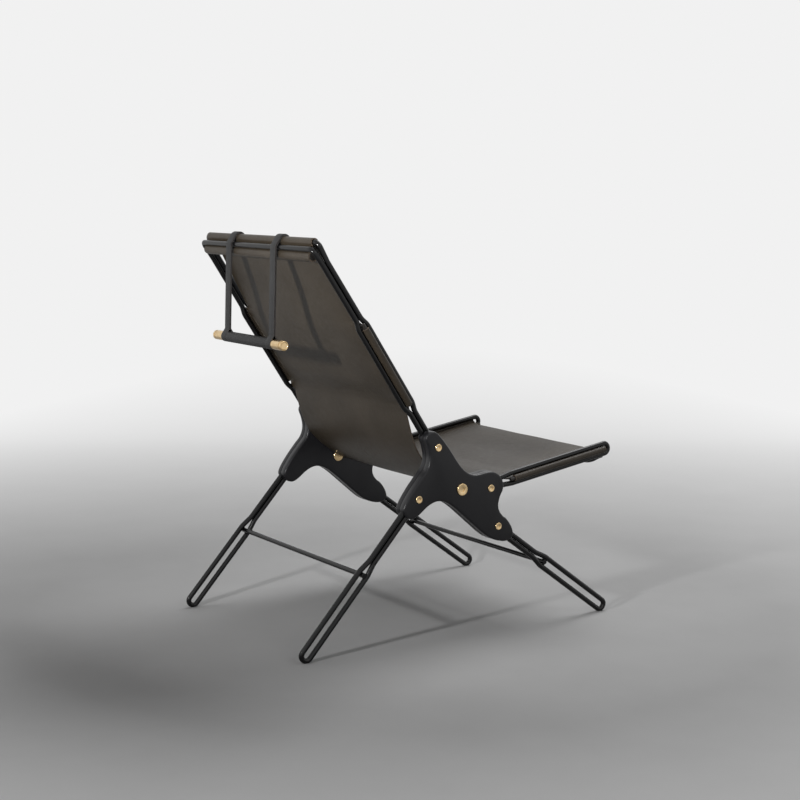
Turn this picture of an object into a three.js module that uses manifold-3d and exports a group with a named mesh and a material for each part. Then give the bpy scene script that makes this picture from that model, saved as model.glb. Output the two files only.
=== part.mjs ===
// A leather sling lounge chair on bent steel rods, in millimetres. +Z is up, the chair faces -Y,
// its left side is +X, and the origin lies on the floor under the middle of the chair.
//
// Each side has one thick slab of two halves. The seam face of each half is routed: the outer half
// holds the legs, the inner half holds the back and seat rods. Every rod end runs past a bolt that
// clamps the halves together. The leather hangs from dowels in its hems, which are wider than the
// slots between the rods that the leather passes through.
import * as THREE from 'three';
import { mergeVertices } from 'three/addons/utils/BufferGeometryUtils.js';
import Module from 'manifold-3d';

const wasm = await Module();
wasm.setup();

// Rods
const ROD = 12; // diameter of every bent rod
const CROSS_BAR = 11; // diameter of the bars between the legs
const FIT = 0.3; // gap between two pieces that touch
const HALF_PIN = (ROD + CROSS_BAR) / 2 + FIT; // half a pair's spacing: a cross bar fits between
const HALF_NECK = (ROD + FIT) / 2; // half the spacing where the two rods lie side by side
const KINK_RADIUS = 40; // of the slight bends where rods part and meet

// Side slabs
const HALF_WIDTH = 270; // from the middle of the chair to the seam of a slab
const SLAB_THICK = 36;
const SLAB_EDGE = 5; // rounding of its long edges
const HUB_Y = 16;
const HUB_Z = 336;
const BACK_BOLT_BEHIND = 63.5; // the other bolts are measured from the hub
const BACK_BOLT_ABOVE = 99;
const SEAT_BOLT_BEFORE = 79;
const SEAT_BOLT_BELOW = 5;
const REAR_BOLT_BEHIND = 114;
const REAR_BOLT_BELOW = 11;
const FRONT_BOLT_BEFORE = 100;
const FRONT_BOLT_BELOW = 94;
const LOBE = 40; // size that the outline round each bolt follows
const WAIST = 100; // size that the outline round the hub follows

// Slopes of the rod pairs in the side view, in degrees from the level
const BACK_SLOPE = 56.8;
const SEAT_SLOPE = 9.4;
const REAR_LEG_SLOPE = 48.1;
const FRONT_LEG_SLOPE = 36.24;

// Bolts
const SHANK = 6;
const BOLT_HEAD = 16.6;
const BOLT_HEAD_THICK = 2.6;
const BOLT_SOCKET = 6;
const BOLT_BITE = 13; // how far a bolt goes into the inner half
const BOLT_RIB = 4.2; // slab left between a bolt and the channels beside it
const HUB_SHANK = 10;
const HUB_HEAD = 27;
const HUB_HEAD_THICK = 3.2;
const HUB_SOCKET = 10;
const HUB_NUT = 26;
const HUB_NUT_THICK = 2.4;
const HUB_SLEEVE = 15;
const HEAD_ROUND = 0.8;
const SOCKET_SHARE = 0.6; // depth of a socket as a share of its head

// Runs of the rod pairs, measured from each pair's bolt along the pair
const TAIL = 16; // rod behind the bolt
const EYE_RUN = 6; // where the rods leave the bolt's sides
const NECK_RUN = 30; // where they have come together
const SEAT_HALF_NECK = 8.7; // the seat rods come less close
const SEAT_PART = 46;
const SEAT_SPREAD = 75;
const SEAT_REACH = 348.5; // to the centre of the front bend
const SLOT_OPEN = 18.5; // the back rods part over this run
const SLOT_LOW = 114; // and are fully apart from here
const SLOT_LONG = 209.5; // over this run
const SLOT_CLOSE = 17; // and come together over this one
const REAR_BOW_REACH = 527; // to the back frame's rear top bar
const BOW_STEP = 5; // further to its front top bar, over which the leather turns
const TOP_AHEAD = 3; // front top bar further forward than the leather between the two needs
const TOP_SPREAD = 46; // the back rods part over this run, up to their top bars
const BOW_NARROW = 5; // each side of the back leans in by this
const BOW_CORNER = 12;
const REAR_BAR_RUN = 205; // to the rear cross bar
const FRONT_BAR_RUN = 171;
const SPLAY_BEFORE = 34; // the legs part this far before their cross bar
const SPLAY_DONE = 4; // and are fully apart this far before it
const BAR_PROUD = 1; // cross bar showing outside the rods
const TOE_FLAT = 1; // flat filed under each foot
const LIP_BEFORE = 37.5; // bar under the seat's front, before that bend's centre
const LIP_WELD = 10; // its ends lie along the seat rods for this run
const LIP_BELOW = 6; // its ends below the axes of the lower rods, and against their inner sides
const LIP_DROP = 4.5; // the bar below its ends
const LIP_BEND = 16;

// Leather sling
const LEATHER = 2.8;
const SIDE_DOWEL = 9;
const TOP_DOWEL = 16;
const DOWEL_PROUD = 13; // side dowels showing past their hems
const HEM_SHORT = 4; // hems end this far inside their slots
const HEAD_SHORT = 2; // leather at the top, short of where the top bars begin to bend
const HEAD_FLARE = 6; // wider than that by this just above the slots
const TOP_HEM_WIDE = 1; // ends of the top hem past the leather that carries it
const FOLD_CLEAR = 4; // from the fold's side edges to the slabs
const SEAT_EDGE_BEFORE = 18; // front edge of the seat, before the centre of the front bend
const SEAT_HEM_BEFORE = 2.5;

// Neck pillow and its counterweight
const STRAP_THICK = 5;
const STRAP_WIDE = 23;
const STRAP_INSET = 40; // middle of each strap, in from the pillow's end
const STRAP_TURN = 6; // straight ends of the piece that goes over the top bars
const STRAP_DROP = 208; // from the rear top bar down to the handle
const STRAP_LEAN = 1.8; // degrees off the vertical: the straps hang almost straight down
const PILLOW_WIDE = 290;
const PILLOW_HIGH = 120;
const PILLOW_THICK = 50;
const PILLOW_DROP = 44; // from the front top bar to the pillow's upper edge
const PILLOW_EDGE_SHARE = 0.16; // thickness left at the seam
const PILLOW_BACK_SHARE = 0.04; // the part of its fullness that is behind the seam
const PILLOW_DRAWN_SHARE = 0.05; // its sides drawn in between the corners
const HANDLE_CORE = 18.5;
const WRAP_THICK = 2.45; // leather round the core between the straps
const CAP_LONG = 44.2;
const CAP_WALL = 1.2;
const CAP_BORE = 24; // depth
const CAP_RING = 2.5; // rim round the dished end
const CAP_DISH = 0.8;
const CORE_SHORT = 1; // core ends this far from the bottom of the cap's bore
const LOOP_THICK = 2.5;
const LOOP_NECK = 18; // from the handle's axis to the top of the loop

const OVERRUN = 10; // cutters reach this far past what they cut

// Facet counts
const ROD_SIDES = 12;
const BEND_STEP = THREE.MathUtils.degToRad(24);
const ARC_STEP = THREE.MathUtils.degToRad(15);
const SLAB_STEPS = 64;
const BOLT_SIDES = 16;
const HUB_SIDES = 24;
const HEM_SIDES = 14;
const FOLD_STEPS = 20;

// Places that follow from the sizes above
const ROD_RADIUS = ROD / 2;
const CHANNEL = ROD + 2 * FIT;
const EYE = SHANK / 2 + FIT + BOLT_RIB + ROD_RADIUS + FIT;
const LEG_X = HALF_WIDTH + FIT / 2 + ROD_RADIUS;
const SEAT_X = HALF_WIDTH - FIT / 2 - ROD_RADIUS;
const SLAB_OUT = HALF_WIDTH + SLAB_THICK / 2;
const SLAB_IN = HALF_WIDTH - SLAB_THICK / 2;
const HALF_TOP = (ROD + LEATHER + 2 * FIT) / 2; // the leather fits between the top bars
const FRONT_TOP = HALF_TOP + TOP_AHEAD;
const SIDE_HEM = SIDE_DOWEL / 2 + FIT + LEATHER;
const TOP_HEM = TOP_DOWEL / 2 + FIT + LEATHER;
const SIDE_HEM_REACH = ROD_RADIUS + FIT + SIDE_HEM;
const SIDE_HEM_X = SEAT_X + Math.sqrt(SIDE_HEM_REACH ** 2 - HALF_PIN ** 2);
const SLOT_HALF = SIDE_HEM_X - SIDE_HEM - FIT; // half the width of the leather in the slots
const ROLL = ROD_RADIUS + FIT + LEATHER / 2; // middle of the leather round the front top bar
const ROLL_STRAP = ROLL + LEATHER / 2 + FIT + STRAP_THICK / 2;
const REAR_STRAP = ROD_RADIUS + FIT + STRAP_THICK / 2;
const TOE_Z = HALF_PIN + ROD_RADIUS - TOE_FLAT;

const X_AXIS = new THREE.Vector3(1, 0, 0);

// A line in the side view, from a bolt along its rod pair: at() takes the distance along it, the
// distance to its left and the place across the chair.
function lineFrom(y, z, degrees) {
  const angle = THREE.MathUtils.degToRad(degrees);
  const along = new THREE.Vector3(0, Math.cos(angle), Math.sin(angle));
  const aside = new THREE.Vector3(0, -Math.sin(angle), Math.cos(angle));
  const start = new THREE.Vector3(0, y, z);
  const at = (run, side = 0, x = 0) =>
    start.clone().addScaledVector(along, run).addScaledVector(aside, side).setX(x);
  return { along, aside, angle, at };
}

const backBolt = { y: HUB_Y + BACK_BOLT_BEHIND, z: HUB_Z + BACK_BOLT_ABOVE };
const seatBolt = { y: HUB_Y - SEAT_BOLT_BEFORE, z: HUB_Z - SEAT_BOLT_BELOW };
const rearBolt = { y: HUB_Y + REAR_BOLT_BEHIND, z: HUB_Z - REAR_BOLT_BELOW };
const frontBolt = { y: HUB_Y - FRONT_BOLT_BEFORE, z: HUB_Z - FRONT_BOLT_BELOW };
const slotHigh = SLOT_LOW + SLOT_LONG;
const frontBowReach = REAR_BOW_REACH + BOW_STEP;
const backLine = lineFrom(backBolt.y, backBolt.z, BACK_SLOPE);
const seatLine = lineFrom(seatBolt.y, seatBolt.z, 180 - SEAT_SLOPE);
const rearLegLine = lineFrom(rearBolt.y, rearBolt.z, -REAR_LEG_SLOPE);
const frontLegLine = lineFrom(frontBolt.y, frontBolt.z, 180 + FRONT_LEG_SLOPE);
const rearBow = backLine.at(REAR_BOW_REACH, -HALF_TOP);
const frontBow = backLine.at(frontBowReach, FRONT_TOP);
const hangLine = lineFrom(rearBow.y, rearBow.z, STRAP_LEAN - 90);
const handle = hangLine.at(STRAP_DROP, REAR_STRAP);

// Materials
function blackSteel() {
  return new THREE.MeshStandardMaterial({ color: 0x222224, roughness: 0.42, metalness: 0.6 });
}
function blackSlab() {
  return new THREE.MeshStandardMaterial({ color: 0x2b2b2e, roughness: 0.5, metalness: 0.35 });
}
function brass() {
  return new THREE.MeshStandardMaterial({ color: 0xc9a566, roughness: 0.3, metalness: 1 });
}
function slingLeather() {
  return new THREE.MeshStandardMaterial({ color: 0x6a6459, roughness: 0.62, metalness: 0 });
}
function strapLeather() {
  return new THREE.MeshStandardMaterial({ color: 0x4a4a4c, roughness: 0.66, metalness: 0 });
}
function darkWood() {
  return new THREE.MeshStandardMaterial({ color: 0x26221f, roughness: 0.6, metalness: 0 });
}

// A path whose rings stand only at its own points, so that a straight run takes no extra rings.
class RingPath extends THREE.Curve {
  constructor(points) {
    super();
    this.points = points;
  }
  getPoint(t, target = new THREE.Vector3()) {
    return target.copy(this.points[Math.round(t * (this.points.length - 1))]);
  }
  getPointAt(t, target) {
    return this.getPoint(t, target);
  }
  getTangent(t, target = new THREE.Vector3()) {
    const last = this.points.length - 1;
    const here = Math.round(t * last);
    const before = this.points[here].clone().sub(this.points[Math.max(here - 1, 0)]).normalize();
    const after = this.points[Math.min(here + 1, last)].clone().sub(this.points[here]).normalize();
    return target.copy(before.add(after).normalize());
  }
  getTangentAt(t, target) {
    return this.getTangent(t, target);
  }
}

// The points of a bent path: corners are [place, bend radius], and the ends have no radius.
function bentPath(corners) {
  const points = [corners[0][0]];
  const put = (point) => {
    if (point.distanceTo(points[points.length - 1]) > FIT / 2) points.push(point);
  };
  for (let i = 1; i < corners.length - 1; i += 1) {
    const [corner, radius] = corners[i];
    const back = corners[i - 1][0].clone().sub(corner).normalize();
    const ahead = corners[i + 1][0].clone().sub(corner).normalize();
    const turn = Math.PI - back.angleTo(ahead);
    const start = corner.clone().addScaledVector(back, radius * Math.tan(turn / 2));
    const middle = back.clone().add(ahead).normalize();
    const centre = corner.clone().addScaledVector(middle, radius / Math.cos(turn / 2));
    const outward = start.clone().sub(centre);
    const steps = Math.max(1, Math.ceil(turn / BEND_STEP));
    for (let k = 0; k <= steps; k += 1) {
      const angle = (turn * k) / steps;
      put(centre.clone().addScaledVector(outward, Math.cos(angle))
        .addScaledVector(back, -radius * Math.sin(angle)));
    }
  }
  put(corners[corners.length - 1][0]);
  return points;
}

// Points along an arc in the side view, between two angles measured from +Y towards +Z. The lines
// between them touch the arc, so that layers round the same bar keep their gap.
function arc(centre, radius, from, to) {
  const steps = Math.ceil(Math.abs(to - from) / ARC_STEP);
  const far = radius / Math.cos((to - from) / steps / 2);
  return Array.from({ length: steps + 1 }, (_, i) => {
    const angle = from + ((to - from) * i) / steps;
    const reach = i > 0 && i < steps ? far : radius;
    return new THREE.Vector3(0, reach * Math.cos(angle), reach * Math.sin(angle)).add(centre);
  });
}

function circle(radius, sides) {
  const shape = new THREE.Shape();
  for (let i = 0; i < sides; i += 1) {
    const angle = (2 * Math.PI * (i + 0.5)) / sides;
    if (i === 0) shape.moveTo(radius * Math.cos(angle), radius * Math.sin(angle));
    else shape.lineTo(radius * Math.cos(angle), radius * Math.sin(angle));
  }
  shape.closePath();
  return shape;
}

function rodAlong(points) {
  return new THREE.ExtrudeGeometry(circle(ROD_RADIUS, ROD_SIDES), {
    steps: points.length - 1,
    extrudePath: new RingPath(points),
  });
}

// A side view outline of [y, z] points, made solid from one place across the chair to another.
function acrossX(shape, fromX, toX) {
  const geometry = new THREE.ExtrudeGeometry(shape, { depth: toX - fromX, bevelEnabled: false });
  geometry.translate(0, 0, fromX);
  return standing(geometry);
}

// Turns a shape drawn flat so that its x is y, its y is z and its depth runs along x.
function standing(geometry) {
  return geometry.applyMatrix4(new THREE.Matrix4().makeBasis(
    new THREE.Vector3(0, 1, 0), new THREE.Vector3(0, 0, 1), X_AXIS));
}

// A cross-section carried along a line from one run to another, at a place aside and across.
function alongLine(shape, line, fromRun, toRun, side, x) {
  const geometry = new THREE.ExtrudeGeometry(shape, { depth: toRun - fromRun, bevelEnabled: false });
  const up = line.along.clone().cross(X_AXIS);
  const basis = new THREE.Matrix4().makeBasis(X_AXIS, up, line.along);
  return geometry.applyMatrix4(basis.setPosition(line.at(fromRun, side, x)));
}

// The outline of a strip of even thickness along a path seen from the side.
function strip(points, thick) {
  const left = [];
  const right = [];
  points.forEach((point, i) => {
    const before = points[Math.max(i - 1, 0)];
    const after = points[Math.min(i + 1, points.length - 1)];
    const into = new THREE.Vector2(point.y - before.y, point.z - before.z).normalize();
    const out = new THREE.Vector2(after.y - point.y, after.z - point.z).normalize();
    const along = into.clone().add(out).normalize();
    const reach = thick / 2 / Math.sqrt((1 + (i > 0 && i < points.length - 1 ? into.dot(out) : 1)) / 2);
    left.push(new THREE.Vector2(point.y - along.y * reach, point.z + along.x * reach));
    right.unshift(new THREE.Vector2(point.y + along.y * reach, point.z - along.x * reach));
  });
  return new THREE.Shape([...left, ...right]);
}

function solid(geometry) {
  const bare = geometry.clone();
  bare.deleteAttribute('normal');
  bare.deleteAttribute('uv');
  const merged = mergeVertices(bare, 0.0001);
  return new wasm.Manifold(new wasm.Mesh({
    numProp: 3,
    vertProperties: new Float32Array(merged.attributes.position.array),
    triVerts: new Uint32Array(merged.index.array),
  }));
}

function geometryOf(body) {
  const mesh = body.getMesh();
  const geometry = new THREE.BufferGeometry();
  const places = new Float32Array(mesh.vertProperties);
  geometry.setAttribute('position', new THREE.BufferAttribute(places, 3));
  geometry.setIndex(new THREE.BufferAttribute(new Uint32Array(mesh.triVerts), 1));
  return geometry;
}

function cut(geometry, cutters) {
  return geometryOf(cutters.reduce((body, cutter) => body.subtract(solid(cutter)), solid(geometry)));
}

function joined(first, second) {
  return geometryOf(solid(first).add(solid(second)));
}

function plain(geometry) {
  return geometryOf(solid(geometry));
}

// The same piece on the other side of the chair.
function mirrored(geometry) {
  const other = (geometry.index ? geometry.clone() : plain(geometry)).scale(-1, 1, 1);
  const order = other.index.array;
  for (let i = 0; i < order.length; i += 3) {
    [order[i + 1], order[i + 2]] = [order[i + 2], order[i + 1]];
  }
  return other;
}

const chair = new THREE.Group();

function add(name, geometry, material) {
  const piece = geometry.index ? geometry : plain(geometry);
  const faceted = piece.toNonIndexed();
  faceted.computeVertexNormals();
  const mesh = new THREE.Mesh(faceted, material);
  mesh.name = name;
  chair.add(mesh);
}

function addPair(name, geometry, material) {
  add(`${name}_left`, geometry, material());
  add(`${name}_right`, mirrored(geometry), material());
}

// One rod of a pair, from its tail past the bolt to the place where the pair leaves the slab.
function tailOf(line, sign, halfNeck, x) {
  return [
    [line.at(-TAIL, sign * EYE, x), 0],
    [line.at(EYE_RUN, sign * EYE, x), KINK_RADIUS],
    [line.at(NECK_RUN, sign * halfNeck, x), KINK_RADIUS],
  ];
}

function legCorners(line, barRun, sign) {
  return [
    ...tailOf(line, sign, HALF_NECK, LEG_X),
    [line.at(barRun - SPLAY_BEFORE, sign * HALF_NECK, LEG_X), KINK_RADIUS],
    [line.at(barRun - SPLAY_DONE, sign * HALF_PIN, LEG_X), KINK_RADIUS],
  ];
}

function hairpin(corners, line, endRun, x) {
  const tip = endRun + HALF_PIN;
  return bentPath([
    ...corners(1),
    [line.at(tip, HALF_PIN, x), HALF_PIN],
    [line.at(tip, -HALF_PIN, x), HALF_PIN],
    ...corners(-1).reverse(),
  ]);
}

// A leg reaches the floor, where a small flat keeps it from rocking.
function leg(line, barRun) {
  const endRun = (line.at(0).z - TOE_Z) / -line.along.z;
  const points = hairpin((sign) => legCorners(line, barRun, sign), line, endRun, LEG_X);
  const toe = line.at(endRun, 0, LEG_X);
  const floor = new THREE.BoxGeometry(2 * OVERRUN + ROD, 2 * (HALF_PIN + ROD), OVERRUN);
  floor.translate(toe.x, toe.y, -OVERRUN / 2);
  return cut(rodAlong(points), [floor]);
}

function seatCorners(sign) {
  return [
    ...tailOf(seatLine, sign, SEAT_HALF_NECK, SEAT_X),
    [seatLine.at(SEAT_PART, sign * SEAT_HALF_NECK, SEAT_X), KINK_RADIUS],
    [seatLine.at(SEAT_SPREAD, sign * HALF_PIN, SEAT_X), KINK_RADIUS],
  ];
}

function backCorners(sign, x) {
  return [
    ...tailOf(backLine, sign, HALF_NECK, x),
    [backLine.at(SLOT_LOW - SLOT_OPEN, sign * HALF_NECK, x), KINK_RADIUS],
    [backLine.at(SLOT_LOW, sign * HALF_PIN, x), KINK_RADIUS],
    [backLine.at(slotHigh, sign * HALF_PIN, x), KINK_RADIUS],
    [backLine.at(slotHigh + SLOT_CLOSE, sign * HALF_NECK, x), KINK_RADIUS],
  ];
}

// The two sides of the back lean in a little above the slots.
function bowX(run) {
  const closed = slotHigh + SLOT_CLOSE;
  return SEAT_X - BOW_NARROW * (run - closed) / (frontBowReach - closed);
}

// A back rod goes up one side, across the top and down the other side.
function bow(sign, reach, top) {
  const parting = reach - TOP_SPREAD;
  const half = (side) => [
    ...backCorners(sign, side * SEAT_X),
    [backLine.at(parting, sign * HALF_NECK, side * bowX(parting)), KINK_RADIUS],
    [backLine.at(reach, top, side * bowX(reach)), BOW_CORNER],
  ];
  return bentPath([...half(1), ...half(-1).reverse()]);
}

// The bar under the front of the seat lies along the seat rods at its ends, and drops from there.
function lipBar() {
  const x = SEAT_X - Math.sqrt((ROD + FIT) ** 2 - LIP_BELOW ** 2);
  const side = HALF_PIN + LIP_BELOW;
  const half = (sign) => [
    [seatLine.at(SEAT_REACH, side, sign * x), 0],
    [seatLine.at(SEAT_REACH - LIP_WELD, side, sign * x), LIP_BEND],
    [seatLine.at(SEAT_REACH - LIP_BEFORE, side + LIP_DROP, sign * x), LIP_BEND],
  ];
  return rodAlong(bentPath([...half(1), ...half(-1).reverse()]));
}

function crossBar(line, run) {
  const half = LEG_X + ROD_RADIUS + BAR_PROUD;
  const middle = line.at(run);
  const bar = new THREE.CylinderGeometry(CROSS_BAR / 2, CROSS_BAR / 2, 2 * half, ROD_SIDES);
  return bar.rotateZ(Math.PI / 2).translate(0, middle.y, middle.z);
}

// Outline of a slab: shares of LOBE round each bolt, and of WAIST round the hub between them.
const topLobeShares = [[0.62, 0.08], [0.77, 0.5], [0.71, 0.72], [0.54, 0.88], [0.28, 0.92],
  [0.02, 0.81], [-0.24, 0.56], [-0.78, -0.1]];
const topWaistShares = [[0.06, 0.58], [-0.08, 0.43], [-0.21, 0.34], [-0.35, 0.29], [-0.49, 0.29]];
const seatLobeShares = [[0.08, 0.93], [-0.27, 0.88], [-0.62, 0.69], [-0.85, 0.36], [-0.92, 0.05],
  [-0.86, -0.23]];
const frontWaistShares = [[-1.06, -0.28], [-1.02, -0.46], [-1.05, -0.59]];
const frontLobeShares = [[-0.36, 0.56], [-0.61, 0.37], [-0.89, 0.02], [-1.07, -0.37], [-1.09, -0.65],
  [-0.9, -0.85], [-0.55, -0.93], [-0.13, -0.87], [0.29, -0.73], [0.71, -0.51]];
const archShares = [[-0.37, -0.86], [0.16, -0.41], [0.32, -0.3], [0.47, -0.23], [0.64, -0.21],
  [0.79, -0.25], [0.92, -0.32]];
const rearLobeShares = [[-0.04, -0.9], [0.32, -1.06], [0.64, -1], [0.87, -0.79], [0.96, -0.52],
  [0.87, -0.25], [0.67, 0.08], [0.35, 0.52]];
const rearWaistShares = [[1.06, 0.36], [0.91, 0.53], [0.85, 0.68], [0.84, 0.82]];

function slabOutline() {
  const round = (y, z, size, shares) =>
    shares.map(([across, up]) => new THREE.Vector3(y + across * size, z + up * size, 0));
  const curve = new THREE.CatmullRomCurve3([
    ...round(backBolt.y, backBolt.z, LOBE, topLobeShares),
    ...round(HUB_Y, HUB_Z, WAIST, topWaistShares),
    ...round(seatBolt.y, seatBolt.z, LOBE, seatLobeShares),
    ...round(HUB_Y, HUB_Z, WAIST, frontWaistShares),
    ...round(frontBolt.y, frontBolt.z, LOBE, frontLobeShares),
    ...round(HUB_Y, HUB_Z, WAIST, archShares),
    ...round(rearBolt.y, rearBolt.z, LOBE, rearLobeShares),
    ...round(HUB_Y, HUB_Z, WAIST, rearWaistShares),
  ], true, 'centripetal');
  const points = curve.getSpacedPoints(SLAB_STEPS).slice(0, -1);
  return new THREE.Shape(points.map((point) => new THREE.Vector2(point.x, point.y)));
}

function wholeSlab() {
  const geometry = new THREE.ExtrudeGeometry(slabOutline(), {
    depth: SLAB_THICK - 2 * SLAB_EDGE,
    bevelThickness: SLAB_EDGE,
    bevelSize: SLAB_EDGE,
    bevelOffset: -SLAB_EDGE,
    bevelSegments: 2,
  });
  geometry.translate(0, 0, SLAB_IN + SLAB_EDGE);
  return standing(geometry);
}

// A box far larger than a slab, from one place across the chair to another.
function sideBox(fromX, toX) {
  const far = 4 * (SEAT_REACH + REAR_BOW_REACH);
  const box = new THREE.BoxGeometry(toX - fromX, far, far);
  return box.translate((fromX + toX) / 2, 0, 0);
}

function pinX(y, z, fromX, toX, diameter, sides) {
  const pin = new THREE.CylinderGeometry(diameter / 2, diameter / 2, toX - fromX, sides);
  return pin.rotateZ(Math.PI / 2).translate((fromX + toX) / 2, y, z);
}

// The grooves that two rods of a pair lie in, cut from the seam into one half of the slab.
function channels(line, halfNeck, fromX, toX) {
  return [1, -1].map((sign) => {
    const corners = tailOf(line, sign, halfNeck, 0);
    corners[0][0] = line.at(-TAIL - FIT, sign * EYE);
    const end = line.at(NECK_RUN + LOBE, sign * halfNeck);
    return acrossX(strip(bentPath([...corners, [end, 0]]), CHANNEL), fromX, toX);
  });
}

const smallBolts = [
  ['back_bolt', backBolt.y, backBolt.z],
  ['seat_bolt', seatBolt.y, seatBolt.z],
  ['rear_leg_bolt', rearBolt.y, rearBolt.z],
  ['front_leg_bolt', frontBolt.y, frontBolt.z],
];
const seamOut = HALF_WIDTH + FIT / 2;
const seamIn = HALF_WIDTH - FIT / 2;

function outerSlab(whole) {
  const deep = seamOut + ROD + FIT;
  return cut(whole, [
    sideBox(SLAB_IN - OVERRUN, seamOut),
    ...channels(rearLegLine, HALF_NECK, seamOut - OVERRUN, deep),
    ...channels(frontLegLine, HALF_NECK, seamOut - OVERRUN, deep),
    ...smallBolts.map(([, y, z]) =>
      pinX(y, z, seamOut - OVERRUN, SLAB_OUT + OVERRUN, SHANK + 2 * FIT, BOLT_SIDES)),
    pinX(HUB_Y, HUB_Z, seamOut - OVERRUN, SLAB_OUT + OVERRUN, HUB_SHANK + 2 * FIT, HUB_SIDES),
  ]);
}

function innerSlab(whole) {
  const deep = seamIn - ROD - FIT;
  return cut(whole, [
    sideBox(seamIn, SLAB_OUT + OVERRUN),
    ...channels(backLine, HALF_NECK, deep, seamIn + OVERRUN),
    ...channels(seatLine, SEAT_HALF_NECK, deep, seamIn + OVERRUN),
    ...smallBolts.map(([, y, z]) =>
      pinX(y, z, seamIn - BOLT_BITE - FIT, seamIn + OVERRUN, SHANK + 2 * FIT, BOLT_SIDES)),
    pinX(HUB_Y, HUB_Z, SLAB_IN - OVERRUN, seamIn + OVERRUN, HUB_SLEEVE + 2 * FIT, HUB_SIDES),
  ]);
}

// A solid of revolution about X from [radius, distance outward] points.
function turnedX(profile, sides) {
  const points = profile.map(([radius, out]) => new THREE.Vector2(radius, out));
  return new THREE.LatheGeometry(points, sides).rotateZ(-Math.PI / 2);
}

function bolt(shank, long, head, thick, socket, sides) {
  const blank = turnedX([
    [0, -long], [shank / 2, -long], [shank / 2, 0], [head / 2, 0],
    [head / 2, thick - HEAD_ROUND], [head / 2 - HEAD_ROUND, thick], [0, thick],
  ], sides);
  const deep = thick * SOCKET_SHARE;
  const key = new THREE.CylinderGeometry(socket / 2, socket / 2, deep + OVERRUN, 6);
  key.rotateZ(Math.PI / 2).translate(thick - deep + (deep + OVERRUN) / 2, 0, 0);
  return cut(blank, [key]);
}

function smallBolt() {
  const long = SLAB_OUT + FIT - seamIn + BOLT_BITE;
  return bolt(SHANK, long, BOLT_HEAD, BOLT_HEAD_THICK, BOLT_SOCKET, BOLT_SIDES);
}

// A plain tube about X, from zero outward.
function tubeX(bore, outside, long, sides) {
  return turnedX([[bore / 2, 0], [outside / 2, 0], [outside / 2, long], [bore / 2, long], [bore / 2, 0]],
    sides);
}

function hubBolt() {
  const long = SLAB_OUT + FIT - SLAB_IN - HUB_NUT_THICK;
  return bolt(HUB_SHANK, long, HUB_HEAD, HUB_HEAD_THICK, HUB_SOCKET, HUB_SIDES)
    .translate(SLAB_OUT + FIT, HUB_Y, HUB_Z);
}

// The hub's nut: a domed brass flange inside the slab with a sleeve for the bolt.
function hubNut() {
  const face = HUB_NUT_THICK + FIT;
  const reach = seamIn - SLAB_IN + FIT;
  const floor = HUB_NUT_THICK / 2;
  return turnedX([
    [0, -face], [HUB_NUT / 2 - HEAD_ROUND, -face], [HUB_NUT / 2, HEAD_ROUND - face], [HUB_NUT / 2, -FIT],
    [HUB_SLEEVE / 2, -FIT], [HUB_SLEEVE / 2, reach - FIT - FIT], [HUB_SHANK / 2 + FIT, reach - FIT - FIT],
    [HUB_SHANK / 2 + FIT, floor], [0, floor],
  ], HUB_SIDES).translate(SLAB_IN, HUB_Y, HUB_Z);
}

// Leather in the side view, from the lower end of the back slots up to the front top bar, over it
// and down between the two top bars to the top hem.
function backProfile() {
  const away = new THREE.Vector2(frontBowReach - slotHigh, FRONT_TOP);
  const tilt = away.angle() + Math.asin(ROLL / away.length());
  const square = backLine.angle + Math.PI / 2;
  return [
    backLine.at(SLOT_LOW + FIT),
    backLine.at(slotHigh),
    ...arc(frontBow, ROLL, square + tilt, square - Math.PI),
    backLine.at(topHemRun + topHemMeet),
  ];
}

// The top hem lies against the underside of the rear top bar, behind the leather that carries it.
const topHemSide = -(TOP_DOWEL / 2 + FIT + LEATHER / 2);
const topHemDrop = ROD_RADIUS + FIT + TOP_HEM;
const topHemRun = REAR_BOW_REACH - Math.sqrt(topHemDrop ** 2 - (topHemSide + HALF_TOP) ** 2);
const topHemGap = -LEATHER / 2 - FIT - topHemSide;
const topHemMeet = Math.sqrt(TOP_HEM ** 2 - topHemGap ** 2) + FIT;
const headHalf = bowX(REAR_BOW_REACH) - BOW_CORNER - HEAD_SHORT;
const topHemHalf = headHalf + TOP_HEM_WIDE;
const seatHemRun = SEAT_REACH - SEAT_HEM_BEFORE;

// The leather above the slots widens towards them.
function flared(geometry) {
  const places = geometry.attributes.position;
  const low = backLine.at(slotHigh);
  for (let i = 0; i < places.count; i += 1) {
    const run = new THREE.Vector3().fromBufferAttribute(places, i).sub(low).dot(backLine.along);
    const share = THREE.MathUtils.clamp(1 - run / (frontBowReach - slotHigh), 0, 1);
    places.setX(i, places.getX(i) + Math.sign(places.getX(i)) * HEAD_FLARE * share);
  }
  return geometry;
}

function backPanel() {
  const profile = strip(backProfile(), LEATHER);
  const head = flared(acrossX(profile, -headHalf, headHalf));
  const slotPart = acrossX(strip([backLine.at(SLOT_LOW + FIT), backLine.at(slotHigh)], LEATHER),
    -SLOT_HALF, SLOT_HALF);
  return joined(head, slotPart);
}

// The free leather between the back slots and the seat slots, as shares of the way between them.
const foldShares = [[0.018, 0.114], [0.04, 0.246], [0.068, 0.388], [0.109, 0.541], [0.175, 0.689],
  [0.267, 0.824], [0.371, 0.94], [0.477, 1.035], [0.573, 1.091], [0.68, 1.107], [0.787, 1.078],
  [0.886, 1.035]];

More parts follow.
